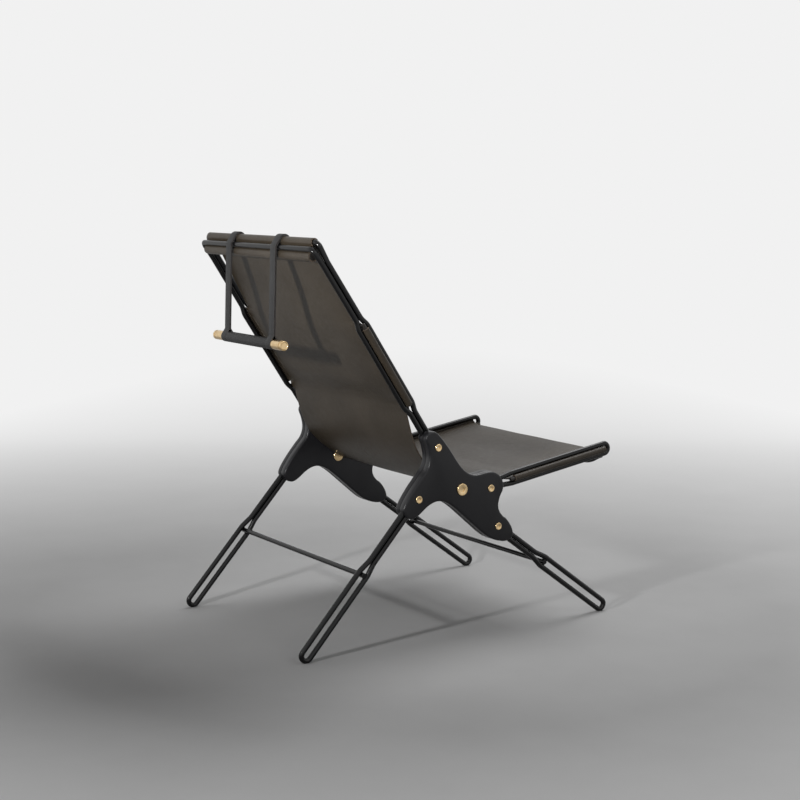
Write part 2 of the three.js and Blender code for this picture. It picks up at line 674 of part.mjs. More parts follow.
function foldPanel() {
  const top = backLine.at(SLOT_LOW);
  const front = seatLine.at(SEAT_SPREAD);
  const between = foldShares.map(([along, down]) =>
    new THREE.Vector3(0, top.y + (front.y - top.y) * along, top.z + (front.z - top.z) * down));
  const curve = new THREE.CatmullRomCurve3([
    backLine.at(SLOT_LOW - LEATHER),
    ...between,
    seatLine.at(SEAT_SPREAD - LEATHER),
  ]);
  const half = SLAB_IN - FOLD_CLEAR;
  return acrossX(strip([top, ...curve.getSpacedPoints(FOLD_STEPS), front], LEATHER), -half, half);
}

function seatPanel() {
  const edge = seatLine.at(SEAT_REACH - SEAT_EDGE_BEFORE);
  const profile = strip([seatLine.at(SEAT_SPREAD + FIT), edge], LEATHER);
  return acrossX(profile, -SLOT_HALF, SLOT_HALF);
}

function ring(outer, inner) {
  const shape = circle(outer, HEM_SIDES);
  shape.holes.push(new THREE.Path(circle(inner, HEM_SIDES).getPoints().reverse()));
  return shape;
}

function sideHem(line, fromRun, toRun) {
  return alongLine(ring(SIDE_HEM, SIDE_DOWEL / 2 + FIT), line, fromRun, toRun, 0, SIDE_HEM_X);
}

function sideDowel(line, fromRun, toRun) {
  return alongLine(circle(SIDE_DOWEL / 2, ROD_SIDES), line, fromRun, toRun, 0, SIDE_HEM_X);
}

function topHem() {
  const middle = backLine.at(topHemRun, topHemSide);
  return acrossX(ring(TOP_HEM, TOP_DOWEL / 2 + FIT), -topHemHalf, topHemHalf)
    .translate(0, middle.y, middle.z);
}

function topDowel() {
  const middle = backLine.at(topHemRun, topHemSide);
  return pinX(middle.y, middle.z, -topHemHalf, topHemHalf, TOP_DOWEL, HEM_SIDES);
}

// A strap over the top: round the leather on the front bar, then round the back of the rear bar.
function strapOver() {
  const apart = new THREE.Vector2(rearBow.y - frontBow.y, rearBow.z - frontBow.z);
  const leave = apart.angle() - 2 * Math.PI + Math.acos((ROLL_STRAP - REAR_STRAP) / apart.length());
  const hang = hangLine.angle + Math.PI / 2;
  const points = [
    backLine.at(frontBowReach - STRAP_TURN, strapSide),
    ...arc(frontBow, ROLL_STRAP, backLine.angle + Math.PI / 2, leave),
    ...arc(rearBow, REAR_STRAP, leave, hang),
    hangLine.at(STRAP_TURN, REAR_STRAP),
  ];
  return strapAt(acrossX(strip(points, STRAP_THICK), -STRAP_WIDE / 2, STRAP_WIDE / 2));
}

function strapAt(geometry) {
  return geometry.translate(strapMiddle, 0, 0);
}

const pillowTop = frontBowReach - PILLOW_DROP;
const strapMiddle = PILLOW_WIDE / 2 - STRAP_INSET;
const wrapHalf = strapMiddle - STRAP_WIDE / 2 - FIT;
const handleHalf = strapMiddle + STRAP_WIDE / 2 + FIT + CAP_LONG;
const strapSide = FRONT_TOP + ROLL_STRAP;

function frontStrap() {
  const profile = strip([backLine.at(pillowTop + FIT, strapSide),
    backLine.at(frontBowReach - STRAP_TURN - FIT, strapSide)], STRAP_THICK);
  return strapAt(acrossX(profile, -STRAP_WIDE / 2, STRAP_WIDE / 2));
}

function rearStrap() {
  const profile = strip([hangLine.at(STRAP_TURN + FIT, REAR_STRAP),
    hangLine.at(STRAP_DROP - LOOP_NECK - FIT, REAR_STRAP)], STRAP_THICK);
  return strapAt(acrossX(profile, -STRAP_WIDE / 2, STRAP_WIDE / 2));
}

// The lower end of a strap parts and goes round the handle.
function strapLoop() {
  const inner = HANDLE_CORE / 2 + FIT;
  const outer = inner + LOOP_THICK;
  const corner = new THREE.Vector2(STRAP_THICK / 2, LOOP_NECK);
  const touch = corner.angle() - Math.acos(outer / corner.length());
  const round = arc(new THREE.Vector3(), outer, -Math.PI - touch, touch);
  const shape = new THREE.Shape([new THREE.Vector2(-corner.x, corner.y),
    ...round.map((point) => new THREE.Vector2(point.y, point.z)), corner]);
  shape.holes.push(new THREE.Path(circle(inner, HUB_SIDES).getPoints().reverse()));
  const loop = acrossX(shape, -STRAP_WIDE / 2, STRAP_WIDE / 2);
  return strapAt(loop.rotateX(hangLine.angle + Math.PI / 2).translate(0, handle.y, handle.z));
}

// The pillow: full in front, nearly flat behind and thin at its seam. Its sides and lower edge are
// drawn in between the corners, and the straps hold its upper edge straight.
function pillow() {
  const geometry = new THREE.BoxGeometry(PILLOW_WIDE, 1, PILLOW_HIGH, 14, 2, 8);
  const places = geometry.attributes.position;
  const edge = PILLOW_THICK * PILLOW_EDGE_SHARE;
  for (let i = 0; i < places.count; i += 1) {
    const across = places.getX(i) / (PILLOW_WIDE / 2);
    const up = places.getZ(i) / (PILLOW_HIGH / 2);
    const rise = Math.max(0, (1 - across ** 4) * (1 - up ** 4));
    const fullness = (PILLOW_THICK - edge) * Math.sqrt(rise);
    const share = places.getY(i) > 0 ? PILLOW_BACK_SHARE : 1 - PILLOW_BACK_SHARE;
    places.setXYZ(i,
      places.getX(i) * (1 - PILLOW_DRAWN_SHARE * (1 - up ** 2)),
      places.getY(i) * (edge + 2 * share * fullness),
      places.getZ(i) * (up > 0 ? 1 : 1 - PILLOW_DRAWN_SHARE * (1 - across ** 2)));
  }
  const middle = backLine.at(pillowTop - PILLOW_HIGH / 2, strapSide);
  return geometry.rotateX(backLine.angle - Math.PI / 2).translate(0, middle.y, middle.z);
}

function handleCap() {
  const inside = handleHalf - CAP_LONG;
  const bore = HANDLE_CORE / 2 + FIT;
  const outer = bore + CAP_WALL;
  const dish = outer - CAP_RING;
  return turnedX([
    [0, CAP_BORE], [bore, CAP_BORE], [bore, 0], [outer, 0], [outer, CAP_LONG - HEAD_ROUND],
    [outer - HEAD_ROUND, CAP_LONG], [dish, CAP_LONG], [dish - CAP_DISH, CAP_LONG - CAP_DISH],
    [0, CAP_LONG - CAP_DISH],
  ], HUB_SIDES).translate(inside, handle.y, handle.z);
}

function handleCore() {
  const half = handleHalf - CAP_LONG + CAP_BORE - CORE_SHORT;
  return pinX(handle.y, handle.z, -half, half, HANDLE_CORE, HEM_SIDES);
}

function handleWrap() {
  const bore = HANDLE_CORE + 2 * FIT;
  return tubeX(bore, bore + 2 * WRAP_THICK, 2 * wrapHalf, HUB_SIDES)
    .translate(-wrapHalf, handle.y, handle.z);
}

const whole = wholeSlab();
addPair('slab_outer', outerSlab(whole), blackSlab);
addPair('slab_inner', innerSlab(whole), blackSlab);
for (const [name, y, z] of smallBolts) {
  addPair(name, smallBolt().translate(SLAB_OUT + FIT, y, z), brass);
}
addPair('hub_bolt', hubBolt(), brass);
addPair('hub_nut', hubNut(), brass);

addPair('rear_leg', leg(rearLegLine, REAR_BAR_RUN), blackSteel);
addPair('front_leg', leg(frontLegLine, FRONT_BAR_RUN), blackSteel);
add('rear_cross_bar', crossBar(rearLegLine, REAR_BAR_RUN), blackSteel());
add('front_cross_bar', crossBar(frontLegLine, FRONT_BAR_RUN), blackSteel());
addPair('seat_rod', rodAlong(hairpin(seatCorners, seatLine, SEAT_REACH, SEAT_X)), blackSteel);
add('seat_lip_bar', lipBar(), blackSteel());
add('back_bow_front', rodAlong(bow(1, frontBowReach, FRONT_TOP)), blackSteel());
add('back_bow_rear', rodAlong(bow(-1, REAR_BOW_REACH, -HALF_TOP)), blackSteel());

add('sling_back', backPanel(), slingLeather());
add('sling_fold', foldPanel(), slingLeather());
add('sling_seat', seatPanel(), slingLeather());
addPair('back_hem', sideHem(backLine, SLOT_LOW + HEM_SHORT, slotHigh - HEM_SHORT), slingLeather);
addPair('seat_hem', sideHem(seatLine, SEAT_SPREAD + HEM_SHORT, seatHemRun), slingLeather);
add('top_hem', topHem(), slingLeather());
addPair('back_dowel',
  sideDowel(backLine, SLOT_LOW, slotHigh - HEM_SHORT + DOWEL_PROUD), darkWood);
addPair('seat_dowel', sideDowel(seatLine, SEAT_SPREAD + HEM_SHORT - DOWEL_PROUD, seatHemRun), darkWood);
add('top_dowel', topDowel(), darkWood());

add('neck_pillow', pillow(), strapLeather());
addPair('strap_front', frontStrap(), strapLeather);
addPair('strap_over', strapOver(), strapLeather);
addPair('strap_rear', rearStrap(), strapLeather);
addPair('strap_loop', strapLoop(), strapLeather);
add('handle_core', handleCore(), blackSteel());
add('handle_wrap', handleWrap(), strapLeather());
addPair('handle_cap', handleCap(), brass);

// The middle of the chair's length stands over the origin.
const extent = new THREE.Box3().setFromObject(chair);
chair.position.y = -(extent.min.y + extent.max.y) / 2;

export default chair;
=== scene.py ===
from math import acos, asin, atan2, ceil, cos, degrees, exp, hypot, pi, radians, sin, sqrt, tan

import bmesh
import bpy
import numpy as np
from mathutils import Matrix, Vector, noise


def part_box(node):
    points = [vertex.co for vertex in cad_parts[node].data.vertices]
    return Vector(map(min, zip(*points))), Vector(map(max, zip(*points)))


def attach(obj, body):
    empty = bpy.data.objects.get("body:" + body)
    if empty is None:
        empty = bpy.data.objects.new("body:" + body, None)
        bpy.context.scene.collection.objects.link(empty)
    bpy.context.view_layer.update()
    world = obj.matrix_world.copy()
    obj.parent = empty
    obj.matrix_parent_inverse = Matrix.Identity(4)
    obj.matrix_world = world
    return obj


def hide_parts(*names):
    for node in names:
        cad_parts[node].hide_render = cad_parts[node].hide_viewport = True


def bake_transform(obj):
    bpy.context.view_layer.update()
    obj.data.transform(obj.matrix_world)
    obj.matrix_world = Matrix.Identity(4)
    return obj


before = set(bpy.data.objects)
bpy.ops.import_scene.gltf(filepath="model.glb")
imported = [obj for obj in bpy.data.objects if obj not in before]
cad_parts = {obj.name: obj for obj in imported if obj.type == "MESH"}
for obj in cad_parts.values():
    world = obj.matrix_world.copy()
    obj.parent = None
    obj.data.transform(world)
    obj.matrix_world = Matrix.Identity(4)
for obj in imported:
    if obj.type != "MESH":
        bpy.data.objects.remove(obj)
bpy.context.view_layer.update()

# Sizes in millimetres, as in the CAD source
ROD = 12
CROSS_BAR = 11
FIT = 0.3
HALF_PIN = (ROD + CROSS_BAR) / 2 + FIT
HALF_NECK = (ROD + FIT) / 2
KINK = 40
HALF_WIDTH = 270
SLAB_THICK = 36
SLAB_EDGE = 5
HUB = (16, 336)
BACK_BOLT = (79.5, 435)
SEAT_BOLT = (-63, 331)
REAR_BOLT = (130, 325)
FRONT_BOLT = (-84, 242)
LOBE = 40
WAIST = 100
TAIL = 16
EYE_RUN = 6
NECK_RUN = 30
SEAT_HALF_NECK = 8.7
SEAT_PART = 46
SEAT_SPREAD = 75
SEAT_REACH = 348.5
SLOT_START = 95.5
SLOT_LOW = 114
SLOT_HIGH = 323.5
SLOT_END = 340.5
REAR_BOW_REACH = 527
FRONT_BOW_REACH = 532
TOP_AHEAD = 3
TOP_SPREAD = 46
BOW_NARROW = 5
BOW_CORNER = 12
REAR_BAR_RUN = 205
FRONT_BAR_RUN = 171
SPLAY_BEFORE = 34
SPLAY_DONE = 4
BAR_PROUD = 1
TOE_FLAT = 1
LIP_RUN = 311
LIP_WELD = 10
LIP_BELOW = 6
LIP_DROP = 4.5
LIP_BEND = 16
LEATHER = 2.8
SIDE_DOWEL = 9
TOP_DOWEL = 16
DOWEL_PROUD = 13
HEM_SHORT = 4
HEAD_SHORT = 2
HEAD_FLARE = 6
TOP_HEM_WIDE = 1
FOLD_HALF = 248
SEAT_EDGE_RUN = 330.5
SEAT_HEM_RUN = 346
STRAP_THICK = 5
STRAP_WIDE = 23
STRAP_SPACING = 210
STRAP_TURN = 6
STRAP_DROP = 208
PILLOW_WIDE = 290
PILLOW_HIGH = 120
PILLOW_THICK = 50
PILLOW_DROP = 44
HANDLE_CORE = 18.5
HANDLE_WRAP = 24
CAP_LONG = 44.2
CAP = 21.5
LOOP_THICK = 2.5
LOOP_NECK = 18

# Sizes of what only the scene shows, in millimetres
WELD_LONG = 9
WELD_RADIUS = 2.1
BACK_BELLY = 8.5  # the most that the back leather stands out behind its slots
SEAT_BELLY = 10.0  # the most that the seat leather sags
FOLD_BELLY = 4.0  # what the middle of the free fold hangs lower than its edges
FOLD_EASE = 1.5  # the fold is this much wider on each side than its solid
RIPPLE = 1.3  # the most that a slow wave in the leather rises
PUCKER = 0.8  # the most that a pucker by the end of a slot rises
PUCKER_LONG = 26
PUCKER_WIDE = 34
BEND_EASE = 24.0  # how far along the leather a kink is eased out
FLAP = 24  # width of the flap stitched down inside each side hem
SIDE_STITCH = (3.0, 0.42)  # length and radius
SIDE_PITCH = 4.2
TOP_STITCH = (3.3, 0.45)
TOP_PITCH = 4.6
PLY = 2.42  # a strap has two plies
PLY_APART = 1.26  # from the strap's middle to a ply's middle
PLY_EDGE = 0.55
GROOVE = 1.5  # depth of the groove in the handle's caps
WRAP_TURNS = 60  # rings along the handle's wrap
PILLOW_SEAM = 5  # the seam lies this far inside the pillow's outer size
PILLOW_BACK = 4.5  # fullness behind the seam, where it lies on the back leather
PILLOW_CAP = 6  # the filling moves no point further than this
PILLOW_CLEAR = 2.5  # the seam stays this far inside, for its piping
PIPING = 1.9
PILLOW_ACROSS = 60  # quads along the pillow
PILLOW_UP = 26

ROD_RADIUS = ROD / 2
EYE = 3 + FIT + 4.2 + ROD_RADIUS + FIT
LEG_X = HALF_WIDTH + FIT / 2 + ROD_RADIUS
SEAT_X = HALF_WIDTH - FIT / 2 - ROD_RADIUS
SLAB_OUT = HALF_WIDTH + SLAB_THICK / 2
SLAB_IN = HALF_WIDTH - SLAB_THICK / 2
HALF_TOP = (ROD + LEATHER + 2 * FIT) / 2
FRONT_TOP = HALF_TOP + TOP_AHEAD
SIDE_HEM = SIDE_DOWEL / 2 + FIT + LEATHER
TOP_HEM = TOP_DOWEL / 2 + FIT + LEATHER
SIDE_HEM_X = SEAT_X + sqrt((ROD_RADIUS + FIT + SIDE_HEM) ** 2 - HALF_PIN**2)
SLOT_HALF = SIDE_HEM_X - SIDE_HEM - FIT
ROLL = ROD_RADIUS + FIT + LEATHER / 2
ROLL_STRAP = ROLL + LEATHER / 2 + FIT + STRAP_THICK / 2
REAR_STRAP = ROD_RADIUS + FIT + STRAP_THICK / 2
TOE_Z = HALF_PIN + ROD_RADIUS - TOE_FLAT
STRAP_SIDE = FRONT_TOP + ROLL_STRAP
PILLOW_TOP = FRONT_BOW_REACH - PILLOW_DROP
TOP_HEM_SIDE = -(TOP_DOWEL / 2 + FIT + LEATHER / 2)
TOP_HEM_RUN = REAR_BOW_REACH - sqrt(
    (ROD_RADIUS + FIT + TOP_HEM) ** 2 - (TOP_HEM_SIDE + HALF_TOP) ** 2
)
TOP_TAIL_RUN = TOP_HEM_RUN - TOP_HEM - 6


def bow_x(run):
    """How far out the back frame's rods are: they draw in towards the head."""
    return SEAT_X - BOW_NARROW * (run - SLOT_END) / (FRONT_BOW_REACH - SLOT_END)


HEAD_HALF = bow_x(REAR_BOW_REACH) - BOW_CORNER - HEAD_SHORT
TOP_HEM_HALF = HEAD_HALF + TOP_HEM_WIDE
STRAP_X = STRAP_SPACING / 2
HANDLE_HALF = STRAP_X + STRAP_WIDE / 2 + FIT + CAP_LONG
SIDES = {"left": 1, "right": -1}

hub_low, hub_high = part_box("hub_bolt_left")
SHIFT = (hub_low.y + hub_high.y) * 500 - HUB[0]


class Line:
    """A line in the side view. at() takes the run along it, the way to its left and x, in mm."""

    def __init__(self, start, degrees):
        self.angle = radians(degrees)
        self.start = np.array(start, float)
        self.along = np.array([cos(self.angle), sin(self.angle)])
        self.aside = np.array([-self.along[1], self.along[0]])

    def flat(self, run, side=0.0):
        return self.start + run * self.along + side * self.aside

    def at(self, run, side=0.0, x=0.0):
        return Vector((x, *self.flat(run, side)))


BACK = Line(BACK_BOLT, 56.8)
SEAT = Line(SEAT_BOLT, 170.6)
REAR_LEG = Line(REAR_BOLT, -48.1)
FRONT_LEG = Line(FRONT_BOLT, 216.24)
REAR_BOW = BACK.flat(REAR_BOW_REACH, -HALF_TOP)
FRONT_BOW = BACK.flat(FRONT_BOW_REACH, FRONT_TOP)
HANG = Line(REAR_BOW, -88.2)
HANDLE = HANG.flat(STRAP_DROP, REAR_STRAP)


def metres(point):
    return (point[0] * 0.001, (point[1] + SHIFT) * 0.001, point[2] * 0.001)


# Materials


class Graph:
    """Adds nodes to a node tree and joins them."""

    def __init__(self, tree):
        self.tree = tree

    def node(self, kind, **inputs):
        node = self.tree.nodes.new(kind)
        for key, value in inputs.items():
            self.put(node, key.replace("_", " "), value)
        return node

    def put(self, node, key, value):
        socket = node.inputs[key]
        if isinstance(value, bpy.types.NodeSocket):
            self.tree.links.new(value, socket)
        else:
            socket.default_value = value

    def maths(self, operation, first, second):
        node = self.node("ShaderNodeMath")
        node.operation = operation
        self.put(node, 0, first)
        self.put(node, 1, second)
        return node.outputs[0]

    def watched(self):
        """1 for a ray from the camera, or mirrored or let through on its way, and 0 for light."""
        rays = self.node("ShaderNodeLightPath").outputs
        mirrored = self.maths("MAXIMUM", rays["Is Camera Ray"], rays["Is Glossy Ray"])
        return self.maths("MAXIMUM", mirrored, rays["Is Transmission Ray"])

    def show(self, output, share, lit, seen):
        """Puts one shader on the output, and another in its place by a share."""
        mixed = self.node("ShaderNodeMixShader", Fac=share)
        self.put(mixed, 1, lit)
        self.put(mixed, 2, seen)
        self.put(self.tree.nodes[output], "Surface", mixed.outputs[0])


class Shader(Graph):
    """A material. Its own colour and roughness are plain values near those that its nodes give."""

    def __init__(self, name, colour, roughness, metallic=0.0, specular=0.5):
        self.material = bpy.data.materials.new(name)
        self.material.use_nodes = True
        super().__init__(self.material.node_tree)
        self.surface = self.tree.nodes["Principled BSDF"]
        self.put(self.surface, "Base Color", (*colour, 1))
        self.put(self.surface, "Roughness", roughness)
        self.put(self.surface, "Metallic", metallic)
        self.put(self.surface, "Specular IOR Level", specular)
        self.place = self.node("ShaderNodeTexCoord").outputs["Object"]
        self.normal = None

    def noise(self, scale, detail=3.0, roughness=0.5, stretch=None):
        place = self.place
        if stretch:
            place = self.node("ShaderNodeMapping", Vector=place, Scale=stretch).outputs["Vector"]
        return self.node(
            "ShaderNodeTexNoise", Vector=place, Scale=scale, Detail=detail, Roughness=roughness,
        ).outputs["Fac"]

    def cells(self, scale):
        """The distance to the nearest edge between cells, as between the pores of leather."""
        node = self.node("ShaderNodeTexVoronoi", Vector=self.place, Scale=scale)
        node.feature = "DISTANCE_TO_EDGE"
        return node.outputs["Distance"]

    def ramp(self, value, *stops):
        node = self.node("ShaderNodeValToRGB", Fac=value)
        points = node.color_ramp.elements
        while len(points) < len(stops):
            points.new(0.5)
        for point, (position, colour) in zip(points, stops):
            point.position = position
            point.color = (*colour, 1)
        return node.outputs["Color"]

    def span(self, value, low, high, from_low=0.0, from_high=1.0):
        return self.node(
            "ShaderNodeMapRange", Value=value, From_Min=from_low, From_Max=from_high, To_Min=low,
            To_Max=high,
        ).outputs["Result"]

    def multiply(self, share, first, second):
        node = self.tree.nodes.new("ShaderNodeMix")
        node.data_type = "RGBA"
        node.blend_type = "MULTIPLY"
        # A mix node has sockets for each data type: these are those of a colour.
        for index, value in ((0, share), (6, first), (7, second)):
            self.put(node, index, value)
        return node.outputs[2]

    def bump(self, height, strength, distance):
        node = self.node("ShaderNodeBump", Height=height, Strength=strength, Distance=distance)
        if self.normal:
            self.put(node, "Normal", self.normal)
        self.normal = node.outputs["Normal"]

    def done(self, colour, roughness):
        self.put(self.surface, "Base Color", colour)
        self.put(self.surface, "Roughness", roughness)
        if self.normal:
            self.put(self.surface, "Normal", self.normal)
        return self.material


GRAIN = 780  # pores of leather in a metre


def black_coat():
    s = Shader("black_powder_coat", (0.0045, 0.0045, 0.005), 0.22, specular=0.31)
    dark, light = (0.0034, 0.0034, 0.0038), (0.0066, 0.0066, 0.007)
    tone = s.ramp(s.noise(14, 4), (0.3, dark), (0.75, light))
    s.bump(s.noise(1500, 2), 0.14, 0.0002)
    return s.done(tone, s.span(s.noise(60, 5), 0.14, 0.23))


def black_slab():
    s = Shader("black_side_plate", (0.0148, 0.0146, 0.0164), 0.34, specular=0.28)
    dark, light = (0.0122, 0.012, 0.0138), (0.0174, 0.0172, 0.0192)
    tone = s.ramp(s.noise(9, 5), (0.3, dark), (0.75, light))
    s.bump(s.noise(900, 4, 0.6), 0.16, 0.0003)
    s.bump(s.noise(70, 3), 0.06, 0.0008)
    return s.done(tone, s.span(s.noise(40, 6, 0.6), 0.26, 0.38))


def turned_brass():
    s = Shader("turned_brass", (0.72, 0.53, 0.29), 0.24, metallic=1.0)
    worn, plain, bright = (0.6, 0.42, 0.21), (0.74, 0.55, 0.31), (0.84, 0.67, 0.42)
    tone = s.ramp(s.noise(120, 5, 0.6), (0.3, worn), (0.55, plain), (0.8, bright))
    s.bump(s.noise(900, 3, 0.6, stretch=(1, 0.2, 0.2)), 0.08, 0.0003)
    return s.done(tone, s.span(s.noise(260, 5), 0.16, 0.32))


def leather(name, dark, mid, light, rough, gloss):
    s = Shader(name, mid, rough, specular=gloss)
    tone = s.ramp(s.noise(7, 6, 0.62), (0.28, dark), (0.52, mid), (0.8, light))
    pores = s.ramp(s.cells(GRAIN), (0.0, (0.55, 0.55, 0.55)), (0.22, (1, 1, 1)))
    tone = s.multiply(0.55, tone, pores)
    s.bump(s.cells(GRAIN), 0.35, 0.0006)
    s.bump(s.noise(GRAIN * 2.2, 3, 0.6), 0.22, 0.0003)
    s.bump(s.noise(46, 4, 0.55), 0.25, 0.0012)
    return s.done(tone, s.span(s.noise(90, 4), rough - 0.07, rough + 0.08))


def cut_edge(name, dark, light):
    s = Shader(name, light, 0.8)
    tone = s.ramp(s.noise(600, 5, 0.7), (0.3, dark), (0.7, light))
    s.bump(s.noise(1400, 3), 0.5, 0.0004)
    return s.done(tone, s.span(s.noise(500, 3), 0.7, 0.9))


def waxed_thread(name, dark, light):
    s = Shader(name, light, 0.6)
    tone = s.ramp(s.noise(1800, 3), (0.3, dark), (0.7, light))
    s.bump(s.noise(2600, 2), 0.6, 0.0003)
    return s.done(tone, s.span(s.noise(900, 3), 0.5, 0.7))


def stained_wood():
    s = Shader("stained_wood", (0.03, 0.024, 0.019), 0.55)
    grain = s.noise(60, 6, 0.6, stretch=(12, 1, 1))
    tone = s.ramp(grain, (0.3, (0.008, 0.007, 0.006)), (0.7, (0.022, 0.018, 0.015)))
    s.bump(grain, 0.3, 0.0006)
    return s.done(tone, s.span(grain, 0.45, 0.65))


COAT = black_coat()
PLATE = black_slab()
BRASS = turned_brass()
SLING = leather(
    "sling_leather", (0.032, 0.024, 0.0156), (0.045, 0.0348, 0.0236), (0.062, 0.0488, 0.0344),
    0.42, 0.3,
)
STRAP = leather(
    "strap_leather", (0.0125, 0.0125, 0.0128), (0.018, 0.018, 0.0184), (0.025, 0.025, 0.0254),
    0.54, 0.34,
)
EDGE = cut_edge("sling_cut_edge", (0.06, 0.045, 0.034), (0.15, 0.112, 0.08))
DARK_EDGE = cut_edge("strap_cut_edge", (0.022, 0.02, 0.02), (0.05, 0.045, 0.043))
THREAD = waxed_thread("sling_thread", (0.19, 0.17, 0.14), (0.36, 0.33, 0.28))
WOOD = stained_wood()


# Meshes


def in_scene(name, data):
    thing = bpy.data.objects.new(name, data)
    bpy.context.scene.collection.objects.link(thing)
    return thing


def plain_mesh(name, points, faces):
    """A mesh from points in metres."""
    data = bpy.data.meshes.new(name)
    data.from_pydata(points, [], faces)
    return in_scene(name, data)


def mesh_object(name, vertices, faces, materials, face_materials=None, angle=35):
    """A mesh in the row frame from points in millimetres, smooth up to an angle in degrees."""
    piece = plain_mesh(name, [metres(v) for v in vertices], faces)
    for material in materials:
        piece.data.materials.append(material)
    if face_materials is not None:
        piece.data.polygons.foreach_set("material_index", face_materials)
    piece.data.update()
    piece.data.shade_smooth()
    piece.data.set_sharp_from_angle(angle=radians(angle))
    return piece


def strips(rows, count, flip=False, closed=True):
    """The quads between rows of so many points each, every row a closed ring or an open line."""
    faces = []
    for i in range(rows - 1):
        for k in range(count if closed else count - 1):
            n = (k + 1) % count
            quad = (i * count + k, i * count + n, (i + 1) * count + n, (i + 1) * count + k)
            faces.append(quad[::-1] if flip else quad)
    return faces


def over_rings(name, rows, materials, flip=False, cut=None, closed_ends=True, angle=35):
    """A mesh over rings of points. cut gives the material of each strip from ring to ring."""
    count, last = len(rows[0]), (len(rows) - 1) * len(rows[0])
    faces = strips(len(rows), count, flip)
    indices = list(cut) * (len(rows) - 1) if cut else None
    if closed_ends:
        low, high = tuple(range(count)), tuple(range(last, last + count))
        faces += [low, high[::-1]] if flip else [low[::-1], high]
        if cut:
            indices += [max(cut)] * 2
    return mesh_object(name, [p for row in rows for p in row], faces, materials, indices, angle)


def finish_piece(piece, slot, *nodes, body="chair"):
    """Hides the nodes that a piece stands for and, if it has one, puts it in its body. The slot is
    not used.
    """
    if nodes:
        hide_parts(*nodes)
    if body:
        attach(piece, body)


def bent_path(corners, step=6.0):
    """The points of a bent rod: corners are (place, bend radius), and the ends have no radius."""
    points = [corners[0][0].copy()]

    def put(point):
        if (point - points[-1]).length > 0.1:
            points.append(point)

    for i in range(1, len(corners) - 1):
        corner, radius = corners[i]
        back = (corners[i - 1][0] - corner).normalized()
        ahead = (corners[i + 1][0] - corner).normalized()
        turn = pi - back.angle(ahead)
        start = corner + back * radius * tan(turn / 2)
        centre = corner + (back + ahead).normalized() * (radius / cos(turn / 2))
        outward = start - centre
        steps = max(2, ceil(degrees(turn) / step))
        for k in range(steps + 1):
            a = turn * k / steps
            put(centre + outward * cos(a) - back * radius * sin(a))
    put(corners[-1][0].copy())
    return points


def swept(name, points, rings, materials, **kind):
    """Sweeps cross-sections along a path. rings gives, for each point, (across, aside) offsets."""
    tangents = []
    for i, point in enumerate(points):
        before = (point - points[max(i - 1, 0)]).normalized()
        after = (points[min(i + 1, len(points) - 1)] - point).normalized()
        tangents.append((before + after).normalized())
    across = Vector((0, 0, 1) if abs(tangents[0].x) > 0.9 else (1, 0, 0))
    normal = (across - tangents[0] * across.dot(tangents[0])).normalized()
    rows = []
    for i, (point, tangent) in enumerate(zip(points, tangents)):
        if i:
            normal = tangents[i - 1].rotation_difference(tangent) @ normal
            normal = (normal - tangent * normal.dot(tangent)).normalized()
        other = tangent.cross(normal)
        rows.append([point + normal * a + other * b for a, b in rings[i]])
    return over_rings(name, rows, materials, **kind)


def circle_ring(radius, sides):
    turns = [2 * pi * k / sides for k in range(sides)]
    return [(radius * cos(a), radius * sin(a)) for a in turns]


def tube(name, points, radius, material=COAT, sides=20, chamfer=0.8):
    """A round rod with slightly rounded ends."""
    start = points[0] + (points[1] - points[0]).normalized() * chamfer
    end = points[-1] - (points[-1] - points[-2]).normalized() * chamfer
    path = [points[0], start, *points[1:-1], end, points[-1]]
    small = circle_ring(radius - chamfer, sides)
    rings = [small, *[circle_ring(radius, sides)] * (len(path) - 2), small]
    return swept(name, path, rings, [material])


def rounded_rectangle(wide, thick, radius, steps=3):
    """Points round a rectangle with rounded corners."""
    x, y = wide / 2 - radius, thick / 2 - radius
    points = []
    for cx, cy, start in ((x, y, 0), (-x, y, 90), (-x, -y, 180), (x, -y, 270)):
        for k in range(steps + 1):
            a = radians(start + 90 * k / steps)
            points.append((cx + radius * cos(a), cy + radius * sin(a)))
    return points


def ribbon(name, points, wide, x):
    """One ply of a strap, which follows a path in the side view and has dark cut sides."""
    ring = rounded_rectangle(wide, PLY, PLY_EDGE)
    middles = [abs(a[0] + b[0]) / 2 for a, b in zip(ring, ring[1:] + ring[:1])]
    cut = [int(middle > wide / 2 - PLY_EDGE * 0.75) for middle in middles]
    placed = [p + Vector((x, 0, 0)) for p in points]
    return swept(name, placed, [ring] * len(placed), [STRAP, DARK_EDGE], cut=cut)


def joined(name, pieces):
    """Several meshes as one object."""
    for o in bpy.context.selected_objects:
        o.select_set(False)
    for o in pieces:
        o.select_set(True)
    bpy.context.view_layer.objects.active = pieces[0]
    bpy.ops.object.join()
    piece = bpy.context.view_layer.objects.active
    piece.name = name
    piece.data.name = name
    piece.select_set(False)
    return piece


def turned(name, profile, centre, sign, materials, sides=48):
    """A solid of revolution about X, from (radius, outward) points.

    A radius ("hex", r) makes six flats at the distance r.
    """
    rows = []
    for radius, out in profile:
        x, row = centre[0] + sign * out, []
        for k in range(sides):
            a = 2 * pi * k / sides
            r = radius
            if isinstance(radius, tuple):
                r = radius[1] / cos((a % (pi / 3)) - pi / 6)
            row.append((x, centre[1] + r * cos(a), centre[2] + r * sin(a)))
        rows.append(row)
    return over_rings(name, rows, materials, sign < 0, angle=30)


# Rods


